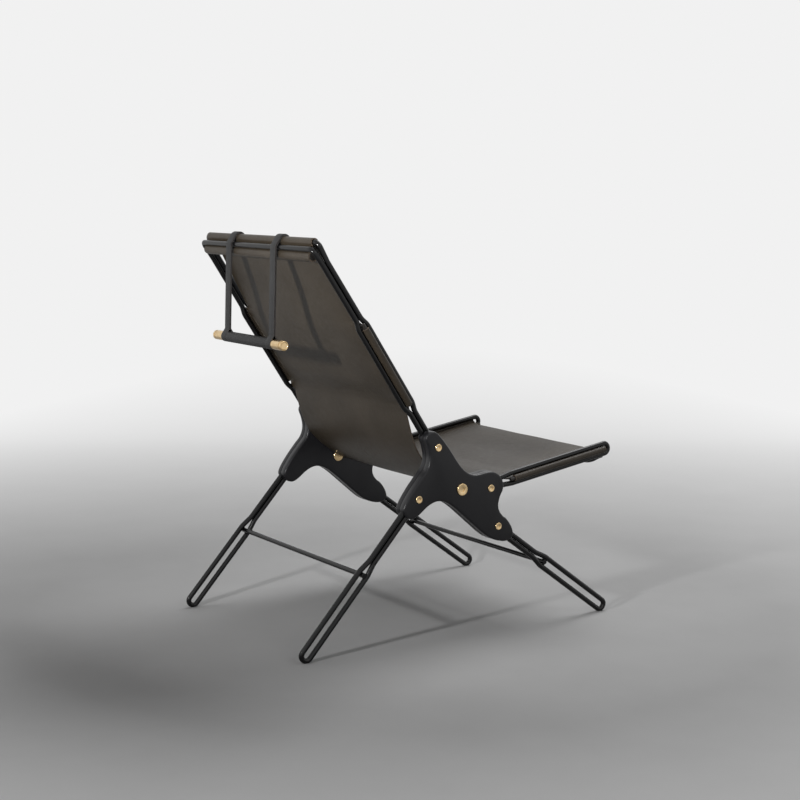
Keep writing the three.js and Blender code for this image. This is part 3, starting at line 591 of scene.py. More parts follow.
def splayed(sign, x, line, neck, start, end):
    """The corners of a rod from its tail in the plate to where it lies apart from its fellow."""
    return [
        (line.at(-TAIL, sign * EYE, x), 0),
        (line.at(EYE_RUN, sign * EYE, x), KINK),
        (line.at(NECK_RUN, sign * neck, x), KINK),
        (line.at(start, sign * neck, x), KINK),
        (line.at(end, sign * HALF_PIN, x), KINK),
    ]


def hairpin(name, reach, x, *splay):
    """A rod bent round at its far end, with both its tails in a side plate."""
    line = splay[0]
    tip = reach + HALF_PIN
    points = bent_path([
        *splayed(1, x, *splay),
        (line.at(tip, HALF_PIN, x), HALF_PIN),
        (line.at(tip, -HALF_PIN, x), HALF_PIN),
        *splayed(-1, x, *splay)[::-1],
    ])
    return tube(name, points, ROD_RADIUS)


def flatten_toe(piece):
    """The small flat under each foot."""
    for vertex in piece.data.vertices:
        vertex.co.z = max(vertex.co.z, 0.0)
    return piece


def crossing_rod(name, half):
    """A rod across the chair. half() gives the corners of its half on a side, 1 or -1."""
    return tube(name, bent_path([*half(1), *half(-1)[::-1]]), ROD_RADIUS)


def bow(name, sign, reach, top):
    """One of the two rods of the back frame: up a side, across the head and down again."""
    parting = reach - TOP_SPREAD

    def half(s):
        x = s * SEAT_X
        return [
            *splayed(sign, x, BACK, HALF_NECK, SLOT_START, SLOT_LOW),
            (BACK.at(SLOT_HIGH, sign * HALF_PIN, x), KINK),
            (BACK.at(SLOT_END, sign * HALF_NECK, x), KINK),
            (BACK.at(parting, sign * HALF_NECK, s * bow_x(parting)), KINK),
            (BACK.at(reach, top, s * bow_x(reach)), BOW_CORNER),
        ]

    return crossing_rod(name, half)


def steel(piece, node):
    finish_piece(piece, "steel_black", node)


for side, sign in SIDES.items():
    for name, line, bar in (
        ("rear_leg", REAR_LEG, REAR_BAR_RUN), ("front_leg", FRONT_LEG, FRONT_BAR_RUN),
    ):
        reach = (line.start[1] - TOE_Z) / -line.along[1]
        splay = (line, HALF_NECK, bar - SPLAY_BEFORE, bar - SPLAY_DONE)
        rod = hairpin(f"{name}_{side}_rod", reach, sign * LEG_X, *splay)
        steel(flatten_toe(rod), f"{name}_{side}")
    splay = (SEAT, SEAT_HALF_NECK, SEAT_PART, SEAT_SPREAD)
    steel(hairpin(f"seat_{side}_rod", SEAT_REACH, sign * SEAT_X, *splay), f"seat_rod_{side}")

steel(bow("back_front_rod", 1, FRONT_BOW_REACH, FRONT_TOP), "back_bow_front")
steel(bow("back_rear_rod", -1, REAR_BOW_REACH, -HALF_TOP), "back_bow_rear")


def lip_bar():
    x = SEAT_X - sqrt((ROD + FIT) ** 2 - LIP_BELOW**2)
    side = HALF_PIN + LIP_BELOW

    def half(s):
        return [
            (SEAT.at(SEAT_REACH, side, s * x), 0),
            (SEAT.at(SEAT_REACH - LIP_WELD, side, s * x), LIP_BEND),
            (SEAT.at(LIP_RUN, side + LIP_DROP, s * x), LIP_BEND),
        ]

    return crossing_rod("seat_lip_rod", half)


steel(lip_bar(), "seat_lip_bar")


def weld(name, centre):
    """A short bead of weld along X, slightly uneven, lying in the crease between two rods."""
    points, rings = [], []
    for k in range(9):
        points.append(centre + Vector((WELD_LONG * (k / 8 - 0.5), 0, 0)))
        swell = sin(pi * (k + 0.6) / 9.2) ** 0.6
        ripple = 1 + 0.1 * sin(k * 2.7 + centre.y)
        rings.append(circle_ring(WELD_RADIUS * swell * ripple, 10))
    return swept(name, points, rings, [COAT])


def cross_bar(name, line, run):
    half = LEG_X + ROD_RADIUS + BAR_PROUD
    bar = tube(name, [line.at(run, 0, -half), line.at(run, 0, half)], CROSS_BAR / 2, COAT, 24, 1.0)
    beads = [
        weld(f"{name}_bead", line.at(run + ahead * 3.4, side * HALF_PIN / 2, s * LEG_X))
        for s in (1, -1) for side in (1, -1) for ahead in (1, -1)
    ]
    return joined(name, [bar, *beads])


steel(cross_bar("rear_cross_rod", REAR_LEG, REAR_BAR_RUN), "rear_cross_bar")
steel(cross_bar("front_cross_rod", FRONT_LEG, FRONT_BAR_RUN), "front_cross_bar")


# Side plates

# Points of a plate's edge, from the middle of a bolt or the hub, as shares of LOBE or WAIST
TOP_LOBE = [(0.62, 0.08), (0.77, 0.5), (0.71, 0.72), (0.54, 0.88), (0.28, 0.92), (0.02, 0.81),
            (-0.24, 0.56), (-0.78, -0.1)]
TOP_WAIST = [(0.06, 0.58), (-0.08, 0.43), (-0.21, 0.34), (-0.35, 0.29), (-0.49, 0.29)]
SEAT_LOBE = [(0.08, 0.93), (-0.27, 0.88), (-0.62, 0.69), (-0.85, 0.36), (-0.92, 0.05),
             (-0.86, -0.23)]
FRONT_WAIST = [(-1.06, -0.28), (-1.02, -0.46), (-1.05, -0.59)]
FRONT_LOBE = [(-0.36, 0.56), (-0.61, 0.37), (-0.89, 0.02), (-1.07, -0.37), (-1.09, -0.65),
              (-0.9, -0.85), (-0.55, -0.93), (-0.13, -0.87), (0.29, -0.73), (0.71, -0.51)]
ARCH = [(-0.37, -0.86), (0.16, -0.41), (0.32, -0.3), (0.47, -0.23), (0.64, -0.21), (0.79, -0.25),
        (0.92, -0.32)]
REAR_LOBE = [(-0.04, -0.9), (0.32, -1.06), (0.64, -1), (0.87, -0.79), (0.96, -0.52), (0.87, -0.25),
             (0.67, 0.08), (0.35, 0.52)]
REAR_WAIST = [(1.06, 0.36), (0.91, 0.53), (0.85, 0.68), (0.84, 0.82)]


def weighed(first, last, low, high, value):
    """From first to last as the value goes from low to high."""
    return (first * (high - value) + last * (value - low)) / (high - low)


def spline(points, per_span, closed=False):
    """A centripetal Catmull-Rom curve through points."""
    points = [np.array(p, float) for p in points]
    if closed:
        points = [points[-1], *points, points[0], points[1]]
    else:
        points = [2 * points[0] - points[1], *points, 2 * points[-1] - points[-2]]
    out = []
    for i in range(1, len(points) - 2):
        p = points[i - 1 : i + 3]
        t = [0.0]
        for a, b in zip(p, p[1:]):
            t.append(t[-1] + max(np.linalg.norm(b - a), 1e-9) ** 0.5)
        for k in range(per_span):
            u = t[1] + (t[2] - t[1]) * k / per_span
            a = [weighed(p[j], p[j + 1], t[j], t[j + 1], u) for j in range(3)]
            b = [weighed(a[j], a[j + 1], t[j], t[j + 2], u) for j in range(2)]
            out.append(weighed(*b, t[1], t[2], u))
    if not closed:
        out.append(points[-2])
    return out


def run_lengths(points):
    """The distance along a polyline at each of its points."""
    steps = np.linalg.norm(np.diff(points, axis=0), axis=1)
    return np.concatenate([[0.0], np.cumsum(steps)])


def at_marks(points, lengths, marks):
    return np.stack([np.interp(marks, lengths, column) for column in points.T], 1)


def resampled(points, spacing, closed=False):
    """Points at an even spacing along a polyline."""
    points = np.array([*points, points[0]] if closed else points, float)
    lengths = run_lengths(points)
    marks = np.linspace(0, lengths[-1], max(2, round(lengths[-1] / spacing)) + 1)
    out = at_marks(points, lengths, marks)
    return out[:-1] if closed else out


def slab_outline():
    """The edge of a plate, from its shares of a size round a bolt or the hub."""
    parts = [
        (BACK_BOLT, LOBE, TOP_LOBE), (HUB, WAIST, TOP_WAIST), (SEAT_BOLT, LOBE, SEAT_LOBE),
        (HUB, WAIST, FRONT_WAIST), (FRONT_BOLT, LOBE, FRONT_LOBE), (HUB, WAIST, ARCH),
        (REAR_BOLT, LOBE, REAR_LOBE), (HUB, WAIST, REAR_WAIST),
    ]
    points = [(y + a * size, z + b * size) for (y, z), size, shares in parts for a, b in shares]
    return resampled(spline(points, 12, True), 3.2, True)


def directions(points, closed=False):
    """The direction of a 2-D polyline at each of its points, as unit vectors."""
    points = np.array(points, float)
    before, after = np.roll(points, 1, 0), np.roll(points, -1, 0)
    if not closed:
        before[0], after[-1] = points[0], points[-1]
    along = after - before
    return along / np.linalg.norm(along, axis=1)[:, None]


def moved_left(points, distance, closed=False):
    """A 2-D polyline moved to its left: inwards, for a ring that runs anticlockwise."""
    along = directions(points, closed)
    return points + distance * np.stack([-along[:, 1], along[:, 0]], 1)


def slab_half(name, sign, seam, face):
    """One half of a side plate, from its seam to its rounded face."""
    outline = slab_outline()
    away = 1 if face > seam else -1
    edge = face - away * SLAB_EDGE
    layers = [(seam, 1.1), (seam + away * 0.4, 0.3), (seam + away * 1.2, 0.0), (edge, 0.0)]
    for k in range(1, 8):
        a = radians(90 * k / 7)
        layers.append((edge + away * SLAB_EDGE * sin(a), SLAB_EDGE * (1 - cos(a))))
    rows = [
        [(sign * x, y, z) for y, z in moved_left(outline, distance, True)]
        for x, distance in layers
    ]
    return over_rings(name, rows, [PLATE], away * sign < 0, angle=28)


for side, sign in SIDES.items():
    for which, seam, face in (("outer", FIT / 2, SLAB_OUT), ("inner", -FIT / 2, SLAB_IN)):
        half = slab_half(f"{which}_plate_{side}", sign, HALF_WIDTH + seam, face)
        finish_piece(half, "slab_black", f"slab_{which}_{side}")


def bolt_head(name, centre, sign, head, thick, shank, long, socket):
    """A bolt with a slightly domed head and a hexagonal socket in it."""
    rim, flats, deep = head / 2, ("hex", socket / 2), thick * 0.6
    profile = [
        (0.01, -long), (shank / 2 - 0.6, -long), (shank / 2, 0.6 - long), (shank / 2, 0),
        (rim - 0.3, 0), (rim, 0.3), (rim, thick - 1.0), (rim - 0.35, thick - 0.4),
        (rim - 1.0, thick), (socket * 0.72, thick), (socket * 0.62, thick - 0.25),
        (flats, thick - 0.3), (flats, thick - deep), (0.01, thick - deep - 0.3),
    ]
    return turned(name, profile, (sign * (SLAB_OUT + FIT), *centre), sign, [BRASS])


# Width and thickness of the head, width and length of the shank, width of the socket
SMALL_BOLT = (16.6, 2.6, 6, 31.0, 6)
HUB_BOLT = (27, 3.2, 10, 33.8, 10)
BOLTS = {
    "back_bolt": (BACK_BOLT, SMALL_BOLT), "seat_bolt": (SEAT_BOLT, SMALL_BOLT),
    "rear_leg_bolt": (REAR_BOLT, SMALL_BOLT), "front_leg_bolt": (FRONT_BOLT, SMALL_BOLT),
    "hub_bolt": (HUB, HUB_BOLT),
}
HUB_NUT = [
    (0.01, -2.7), (9.5, -2.7), (12.4, -2.5), (13, -1.9), (13, -0.3), (7.5, -0.3), (7.5, 17.5),
    (0.01, 17.5),
]
for side, sign in SIDES.items():
    for name, (centre, sizes) in BOLTS.items():
        piece = bolt_head(f"{name}_{side}_brass", centre, sign, *sizes)
        finish_piece(piece, "brass", f"{name}_{side}")
    nut = turned(f"hub_nut_{side}_brass", HUB_NUT, (sign * SLAB_IN, *HUB), sign, [BRASS])
    finish_piece(nut, "brass", f"hub_nut_{side}")


# Leather sling

# The free fold, as shares of the way from the slots' lower end to the seat's rear end
FOLD = [
    (0.018, 0.114), (0.04, 0.246), (0.068, 0.388), (0.109, 0.541), (0.175, 0.689), (0.267, 0.824),
    (0.371, 0.94), (0.477, 1.035), (0.573, 1.091), (0.68, 1.107), (0.787, 1.078), (0.886, 1.035),
]


def arc(centre, radius, start, end, step=6.0):
    """Points of an arc, between two angles that grow from the first axis towards the second."""
    steps = max(2, ceil(abs(degrees(end - start)) / step))
    angles = [start + (end - start) * k / steps for k in range(steps + 1)]
    return [np.array([centre[0] + radius * cos(a), centre[1] + radius * sin(a)]) for a in angles]


def sling_profile():
    """The sling in the side view, from the front edge of the seat to the tail of its top hem."""
    fold_top = BACK.flat(SLOT_LOW)
    fold_front = SEAT.flat(SEAT_SPREAD)
    between = [fold_top + (fold_front - fold_top) * np.array(share) for share in FOLD]
    fold = spline(
        [SEAT.flat(SEAT_SPREAD + 12), SEAT.flat(SEAT_SPREAD), *between[::-1], fold_top,
         BACK.flat(SLOT_LOW + 14)], 10,
    )
    away = np.array([FRONT_BOW_REACH - SLOT_HIGH, FRONT_TOP])
    tilt = atan2(away[1], away[0]) + asin(ROLL / np.linalg.norm(away))
    square = BACK.angle + pi / 2
    return [
        SEAT.flat(SEAT_EDGE_RUN), *fold, BACK.flat(SLOT_HIGH - 8), BACK.flat(SLOT_HIGH + 4, 0.1),
        *arc(FRONT_BOW, ROLL, square + tilt, square - pi, 9), BACK.flat(TOP_HEM_RUN + 8),
        BACK.flat(TOP_TAIL_RUN),
    ]


def measured_profile():
    """The profile's points, at most 5 mm apart, with their distances along the leather."""
    raw = np.array(sling_profile())
    points = [raw[0]]
    for a, b in zip(raw, raw[1:]):
        steps = max(1, ceil(np.linalg.norm(b - a) / 5.0))
        points += [a + (b - a) * k / steps for k in range(1, steps + 1)]
    return np.array(points), run_lengths(points)


def smooth_step(value, low, high):
    t = min(max((value - low) / (high - low), 0.0), 1.0)
    return t * t * (3 - 2 * t)


def eased(marks, values):
    """A curve with its kinks eased out, by a running mean with a bell-shaped weight."""
    weights = np.exp(-(((marks[:, None] - marks[None, :]) / BEND_EASE) ** 2) / 2)
    weights *= np.gradient(marks)[None, :]
    return weights @ values / weights.sum(1)[:, None]


def back_belly(run, share):
    """How far the back leather stands out behind the slots, at a share of its half width."""
    rise = smooth_step(run, SLOT_LOW - 8, SLOT_LOW + 62)
    rise *= 1 - smooth_step(run, SLOT_HIGH - 24, SLOT_HIGH + 86)
    return BACK_BELLY * rise * (1 - min(abs(share), 1) ** 8)


def seat_belly(run, share):
    """How far the seat leather sags, at a share of its half width."""
    sag = smooth_step(run, SEAT_SPREAD - 18, SEAT_SPREAD + 62)
    sag *= smooth_step(SEAT_EDGE_RUN - run, 0, 120)
    return SEAT_BELLY * sag * (1 - min(abs(share), 1) ** 3)


def build_sling():
    """The whole sling as one sheet, with its flat area in mm2 and its length."""
    points, lengths = measured_profile()

    def reached(target):
        """How far along the leather it comes closest to a point."""
        return lengths[np.argmin(np.linalg.norm(points - target, axis=1))]

    seat_end = reached(SEAT.flat(SEAT_SPREAD + 2))
    back_start = reached(BACK.flat(SLOT_LOW + 2))
    back_end = reached(BACK.flat(SLOT_HIGH - 4))
    top = reached(FRONT_BOW + ROLL * BACK.along)
    # The leather's edge steps in or out from here, beyond the ends of the slots.
    seat_step, low_step, high_step = seat_end + 6, back_start - 19, back_end + 12

    def half_width(s):
        fold = FOLD_HALF + FOLD_EASE
        in_seat = 1 - smooth_step(s, seat_step, seat_step + 10)
        in_back = smooth_step(s, low_step, low_step + 7)
        low = fold + (SLOT_HALF - fold) * max(in_seat, in_back)
        head = HEAD_HALF + HEAD_FLARE * min(max((top - s) / (top - back_end), 0), 1)
        return low + (head - low) * smooth_step(s, high_step, high_step + 7)

    extra = [step + k for step in (seat_step, low_step, high_step) for k in range(0, 11, 2)]
    marks = [0.0]
    for mark in sorted([*lengths, *extra]):
        if marks[-1] + 0.6 < mark <= lengths[-1]:
            marks.append(mark)
    marks = np.array(marks)
    path = at_marks(points, lengths, marks)
    soft = eased(marks, path)
    # Away from the sitter: under the seat and behind the back
    outs = directions(path) @ [[0, -1], [1, 0]]
    halves = np.array([half_width(s) for s in marks])
    area = float((np.diff(marks) * (halves[1:] + halves[:-1])).sum())
    shares = np.concatenate([
        np.linspace(-1, -0.93, 5)[:-1], np.linspace(-0.93, 0.93, 43), np.linspace(0.93, 1, 5)[1:],
    ])
    vertices = []
    for s, at, soft_at, out, half in zip(marks, path, soft, outs, halves):
        in_fold = smooth_step(s, seat_end - 30, seat_end + 60)
        in_fold *= 1 - smooth_step(s, back_start - 60, back_start + 30)
        ends = (seat_end, back_start, back_end)
        near_slot = max(exp(-((s - end) / PUCKER_LONG) ** 2) for end in ends)
        free = 1 - smooth_step(s, top - 130, top - 40)
        ease = 1 - smooth_step(s, top - 90, top - 30)
        ease *= smooth_step(s, seat_end - 110, seat_end - 50)
        for u in shares:
            push = back_belly(s - back_start + SLOT_LOW + 2, u) + seat_belly(SEAT_EDGE_RUN - s, u)
            push += FOLD_BELLY * in_fold * (0.8 - u * u)
            wave = noise.noise(Vector((u * 2.1, s * 0.006, 3.1)))
            push += RIPPLE * wave * free * (1 - abs(u) ** 6)
            inside = exp(-((1 - abs(u)) * half / PUCKER_WIDE) ** 2)
            push += PUCKER * sin(s * 0.23 + 4 * abs(u)) * inside * near_slot * free
            y, z = at + (soft_at - at) * ease * (1 - abs(u) ** 5) + out * push
            vertices.append((u * half, y, z))
    faces = strips(len(marks), len(shares), closed=False)
    sheet = mesh_object("sling_sheet", vertices, faces, [SLING, EDGE])
    modify(
        sheet, "SOLIDIFY", thickness=LEATHER * 0.001, offset=0, use_even_offset=True,
        material_offset_rim=1,
    )
    modify(sheet, "BEVEL", width=0.0004, segments=2, angle_limit=radians(60))
    apply_modifiers(sheet)
    return sheet, area, float(lengths[-1])


def modify(piece, kind, **settings):
    modifier = piece.modifiers.new(kind.lower(), kind)
    for key, value in settings.items():
        setattr(modifier, key, value)


def apply_modifiers(piece):
    depsgraph = bpy.context.evaluated_depsgraph_get()
    data = bpy.data.meshes.new_from_object(piece.evaluated_get(depsgraph))
    old = piece.data
    piece.modifiers.clear()
    piece.data = data
    bpy.data.meshes.remove(old)


sling, sling_area, sling_length = build_sling()


def sleeve(name, middle, place, runs, wobble):
    """A hem: one layer of leather round a dowel, carried along it. place() puts a section point."""
    left, right = moved_left(middle, LEATHER / 2), moved_left(middle, -LEATHER / 2)
    section = [*left, *right[::-1]]
    count, last = len(section), len(left) - 1
    vertices = [
        place(run, a, b, wobble * noise.noise(Vector((run * 0.035, a * 0.05, b * 0.05))))
        for run in runs for a, b in section
    ]
    faces = strips(len(runs), count)
    indices = [int(k in (last, count - 1)) for k in range(count)] * (len(runs) - 1)
    # The ends show the cut leather, as a strip of quads between the two sides.
    for base, flip in ((0, False), ((len(runs) - 1) * count, True)):
        for k in range(last):
            quad = (base + k, base + k + 1, base + count - 2 - k, base + count - 1 - k)
            faces.append(quad[::-1] if flip else quad)
            indices.append(1)
    piece = mesh_object(name, vertices, faces, [SLING, EDGE], indices, angle=40)
    bm = bmesh.new()
    bm.from_mesh(piece.data)
    bmesh.ops.recalc_face_normals(bm, faces=bm.faces)
    bm.to_mesh(piece.data)
    bm.free()
    return piece


# Along a stitch in its lengths, and there its width and height in its radii
STITCH = [
    (-0.5, 0.25, -0.8), (-0.36, 0.85, 0.1), (-0.12, 1.0, 0.55), (0.12, 1.0, 0.55),
    (0.36, 0.85, 0.1), (0.5, 0.25, -0.8),
]


def stitches(name, places, along, out, size):
    """A row of short stitches, each a small rounded capsule lying on the leather."""
    length, radius = size
    a, n = along.normalized(), out.normalized()
    side = a.cross(n)
    sides = 6
    last = (len(STITCH) - 1) * sides
    capsule = strips(len(STITCH), sides)
    capsule += [tuple(range(sides))[::-1], tuple(range(last, last + sides))]
    vertices, faces = [], []
    for index, place in enumerate(places):
        faces += [tuple(len(vertices) + corner for corner in face) for face in capsule]
        lift = 1 + 0.12 * sin(index * 1.9)
        for t, share, height in STITCH:
            middle = place + a * t * length + n * height * radius * lift
            for y, z in circle_ring(radius * share, sides):
                vertices.append(middle + side * y + n * z)
    return mesh_object(name, vertices, faces, [THREAD], angle=80)


def side_hem(name, line, runs, sign, belly):
    """The leather turned out through the slot, round the dowel and back, and its stitched flap."""
    inner_x = SEAT_X - ROD_RADIUS - FLAP
    apart = LEATHER * 1.02
    opening = radians(155)
    middle = resampled([
        (inner_x, apart), (inner_x + 4, apart), (SEAT_X - 8, apart),
        *arc((SIDE_HEM_X, 0), SIDE_HEM - LEATHER / 2, opening, -opening, 12),
        (SLOT_HALF + 1, 0), (SLOT_HALF - 3, 0),
    ], 1.6)

    def place(run, a, b, swell):
        grow = 1 + swell / SIDE_HEM if a > SEAT_X - 4 else 1
        side = b * grow + belly(run, a / SLOT_HALF)
        return line.at(run, side, sign * (SIDE_HEM_X + (a - SIDE_HEM_X) * grow))

    pieces = [sleeve(name, middle, place, runs, 0.35)]
    seam_x = inner_x + 4.5
    count = int((runs[-1] - runs[0] - 8) / SIDE_PITCH)
    marks = [runs[0] + 6 + k * SIDE_PITCH for k in range(count)]
    along, out = line.at(1) - line.at(0), line.at(0, 1) - line.at(0)
    for ending, surface in (("", apart + LEATHER / 2), ("_under", -LEATHER / 2)):
        places = [line.at(m, surface + belly(m, seam_x / SLOT_HALF), sign * seam_x) for m in marks]
        facing = out if surface > 0 else -out
        pieces.append(stitches(f"{name}_stitching{ending}", places, along, facing, SIDE_STITCH))
    return pieces


HEMS = [
    ("back_hem", BACK, np.linspace(SLOT_LOW + HEM_SHORT, SLOT_HIGH - HEM_SHORT, 44),
     lambda run, share: -back_belly(run, share)),
    ("seat_hem", SEAT, np.linspace(SEAT_SPREAD + HEM_SHORT, SEAT_HEM_RUN, 54), seat_belly),
]


def finish_hem(pieces, node):
    """A hem stands for its node, and its rows of stitches for none."""
    finish_piece(pieces[0], "sling_leather", node)
    for row in pieces[1:]:
        finish_piece(row, "sling_leather")


for side, sign in SIDES.items():
    for hem, line, runs, belly in HEMS:
        pieces = side_hem(f"{hem}_{side}_leather", line, runs, sign, belly)
        finish_hem(pieces, f"{hem}_{side}")


def build_top_hem():
    """The head of the leather, turned round its dowel and stitched down below it."""
    behind = -LEATHER * 1.03
    start, end = radians(150), radians(402)
    middle = resampled([
        (TOP_TAIL_RUN, behind), (TOP_TAIL_RUN + 3.5, behind),
        *arc((TOP_HEM_RUN, TOP_HEM_SIDE), TOP_HEM - LEATHER / 2, start, end, 9.1),
    ], 1.8)

    def place(x, a, b, swell):
        sag = 0.6 * noise.noise(Vector((x * 0.01, 2.0, 7.0)))
        return BACK.at(a + swell + sag, b + swell * 0.5, x)

    runs = np.linspace(-TOP_HEM_HALF, TOP_HEM_HALF, 80)
    piece = sleeve("top_hem_leather", middle, place, runs, 0.5)
    count = int((2 * TOP_HEM_HALF - 12) / TOP_PITCH)
    places = [
        BACK.at(TOP_TAIL_RUN + 3.2, behind - LEATHER / 2, -TOP_HEM_HALF + 7 + k * TOP_PITCH)
        for k in range(count)
    ]
    out = BACK.at(0, -1) - BACK.at(0)
    row = stitches("top_hem_stitching", places, Vector((1, 0, 0)), out, TOP_STITCH)
    return piece, row


finish_hem(build_top_hem(), "top_hem")
finish_piece(sling, "sling_leather", "sling_back", "sling_fold", "sling_seat")


def dowel(node, start, end, wide):
    piece = tube(f"{node}_wood", [start, end], wide / 2, WOOD, 24, 1.0)
    finish_piece(piece, "dowel_wood", node)


for side, sign in SIDES.items():
    for name, line, start, end in (
        ("back_dowel", BACK, SLOT_LOW, SLOT_HIGH - HEM_SHORT + DOWEL_PROUD),
        ("seat_dowel", SEAT, SEAT_SPREAD + HEM_SHORT - DOWEL_PROUD, SEAT_HEM_RUN),
    ):
        x = sign * SIDE_HEM_X
        dowel(f"{name}_{side}", line.at(start, 0, x), line.at(end, 0, x), SIDE_DOWEL)
start, end = (BACK.at(TOP_HEM_RUN, TOP_HEM_SIDE, x) for x in (-TOP_HEM_HALF, TOP_HEM_HALF))
dowel("top_dowel", start, end, TOP_DOWEL)


# Straps, handle and pillow


def in_side_view(points):
    return [Vector((0, p[0], p[1])) for p in points]


def strap(name, points, x):
    """A strap of two plies, one lying on the other."""
    plies = []
    for k, offset in enumerate((PLY_APART, -PLY_APART)):
        path = moved_left([(p.y, p.z) for p in points], offset)
        plies.append(ribbon(f"{name}_{k}", in_side_view(path), STRAP_WIDE - 0.6 * k, x))
    return joined(name, plies)


def strap_over_path():
    apart = REAR_BOW - FRONT_BOW
    turn = acos((ROLL_STRAP - REAR_STRAP) / np.linalg.norm(apart))
    leave = atan2(apart[1], apart[0]) + turn
    return in_side_view([
        BACK.flat(FRONT_BOW_REACH - STRAP_TURN, STRAP_SIDE),
        *arc(FRONT_BOW, ROLL_STRAP, BACK.angle + pi / 2, leave, 8),
        *arc(REAR_BOW, REAR_STRAP, leave, HANG.angle + pi / 2, 8),
        HANG.flat(STRAP_TURN, REAR_STRAP),
    ])


def straight(line, start, end, side, steps):
    return [line.at(start + (end - start) * k / steps, side) for k in range(steps + 1)]


def loop_path():
    """Round the handle's core, with both ends coming together at the strap's lower end."""
    radius = HANDLE_CORE / 2 + FIT + LOOP_THICK / 2
    neck = STRAP_DROP - LOOP_NECK
    lean = atan2(PLY_APART, LOOP_NECK)
    touch = acos(radius / hypot(LOOP_NECK, PLY_APART))
    up = HANG.angle + pi
    return in_side_view([
        HANG.flat(neck, REAR_STRAP + PLY_APART),
        *arc(HANDLE, radius, up - lean - touch, up + lean + touch - 2 * pi, 8),
        HANG.flat(neck, REAR_STRAP - PLY_APART),
    ])


def moving_strap(node, path, x, start, end):
    """A strap from one body to the next, across the joint between them."""
    piece = strap(f"{node}_leather", path, x)
    finish_piece(piece, "strap_leather", node, body=None)
    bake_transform(piece)


for side, sign in SIDES.items():
    x = sign * STRAP_X
    turn_run, neck_run = FRONT_BOW_REACH - STRAP_TURN, STRAP_DROP - LOOP_NECK
    moving_strap(
        f"strap_over_{side}", strap_over_path(), x,
        (0, REAR_BOW[0], REAR_BOW[1] + REAR_STRAP * 0.6), HANG.at(STRAP_TURN, REAR_STRAP),
    )
    moving_strap(
        f"strap_front_{side}", straight(BACK, PILLOW_TOP - 3, turn_run, STRAP_SIDE, 12), x,
        BACK.at(PILLOW_TOP, STRAP_SIDE), BACK.at(turn_run, STRAP_SIDE),
    )
    moving_strap(
        f"strap_rear_{side}", straight(HANG, STRAP_TURN, neck_run, REAR_STRAP, 24), x,
        HANG.at(STRAP_TURN, REAR_STRAP), HANG.at(neck_run, REAR_STRAP),
    )
    loop = ribbon(f"strap_loop_{side}_leather", loop_path(), STRAP_WIDE, x)
    finish_piece(loop, "strap_leather", f"strap_loop_{side}", body="counterweight")


def handle_wrap():
    half, radius = STRAP_X - STRAP_WIDE / 2 - FIT, HANDLE_WRAP / 2
    end = [(radius - 1.2, half), (radius - 0.4, half - 0.25), (radius, half - 1.0)]
    turns = range(1, WRAP_TURNS)
    profile = [(r, -out) for r, out in end]
    profile += [(radius + 0.12 * sin(k * 1.7), half * (2 * k / WRAP_TURNS - 1)) for k in turns]
    return turned("handle_wrap_leather", profile + end[::-1], (0, *HANDLE), 1, [STRAP], 40)


finish_piece(handle_wrap(), "strap_leather", "handle_wrap", body="counterweight")


def cap_profile():
    """From the cap's open end to the shallow hollow in its face, with a groove near the face."""
    rim, end = CAP / 2, CAP_LONG
    return [
        (HANDLE_CORE / 2 + FIT, 0), (rim - 0.3, 0), (rim, 0.3), (rim, end - 9),
        (rim - GROOVE, end - 8.6), (rim - GROOVE, end - 7), (rim, end - 6.6), (rim, end - 1.2),
        (rim - 0.4, end - 0.4), (rim - 1.2, end), (rim - 2.4, end), (rim - 2.9, end - 0.3),
        (rim - 3.3, end - 1.0), (4.0, end - 1.0), (0.01, end - 0.9),
    ]


for side, sign in SIDES.items():
    start = (sign * (HANDLE_HALF - CAP_LONG), *HANDLE)
    cap = turned(f"handle_cap_{side}_brass", cap_profile(), start, sign, [BRASS])
    finish_piece(cap, "brass", f"handle_cap_{side}", body="counterweight")

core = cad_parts["handle_core"]
core.data.materials.clear()
core.data.materials.append(COAT)


def pillow_form():
    """Two layers sewn together round the edge, as (across, up, forward): points, faces, seam."""
    half_wide, half_high = PILLOW_WIDE / 2 - PILLOW_SEAM, PILLOW_HIGH / 2 - PILLOW_SEAM
    vertices, faces, index = [], [], {}

    def number(layer, i, j):
        edge = i in (0, PILLOW_ACROSS) or j in (0, PILLOW_UP)
        key = (0 if edge else layer, i, j)
        if key not in index:
            u, v = 2 * i / PILLOW_ACROSS - 1, 2 * j / PILLOW_UP - 1
            u, v = sin(u * pi / 2), sin(v * pi / 2)
            full = (1 - abs(u) ** 3.2) ** 0.62 * (1 - abs(v) ** 2.3) ** 0.62
            drawn = 1 - 0.045 * (1 - v * v) * abs(u), 1 - 0.06 * (1 - u * u) * abs(v)
            corner = 5 * abs(u * v) ** 10
            deep = (PILLOW_THICK - PILLOW_BACK - 7) if layer > 0 else -PILLOW_BACK
            index[key] = len(vertices)
            vertices.append((
                u * (half_wide * drawn[0] - corner), v * (half_high * drawn[1] - corner),
                0 if edge else full * deep,
            ))
        return index[key]

    for layer in (1, -1):
        for j in range(PILLOW_UP):
            for i in range(PILLOW_ACROSS):
                quad = tuple(
                    number(layer, i + di, j + dj) for di, dj in ((0, 0), (1, 0), (1, 1), (0, 1))
                )
                faces.append(quad if layer > 0 else quad[::-1])
    ring = [(i, 0) for i in range(PILLOW_ACROSS)]
    ring += [(PILLOW_ACROSS, j) for j in range(PILLOW_UP)]
    ring += [(i, PILLOW_UP) for i in range(PILLOW_ACROSS, 0, -1)]
    ring += [(0, j) for j in range(PILLOW_UP, 0, -1)]
    return vertices, faces, [index[(0, i, j)] for i, j in ring]


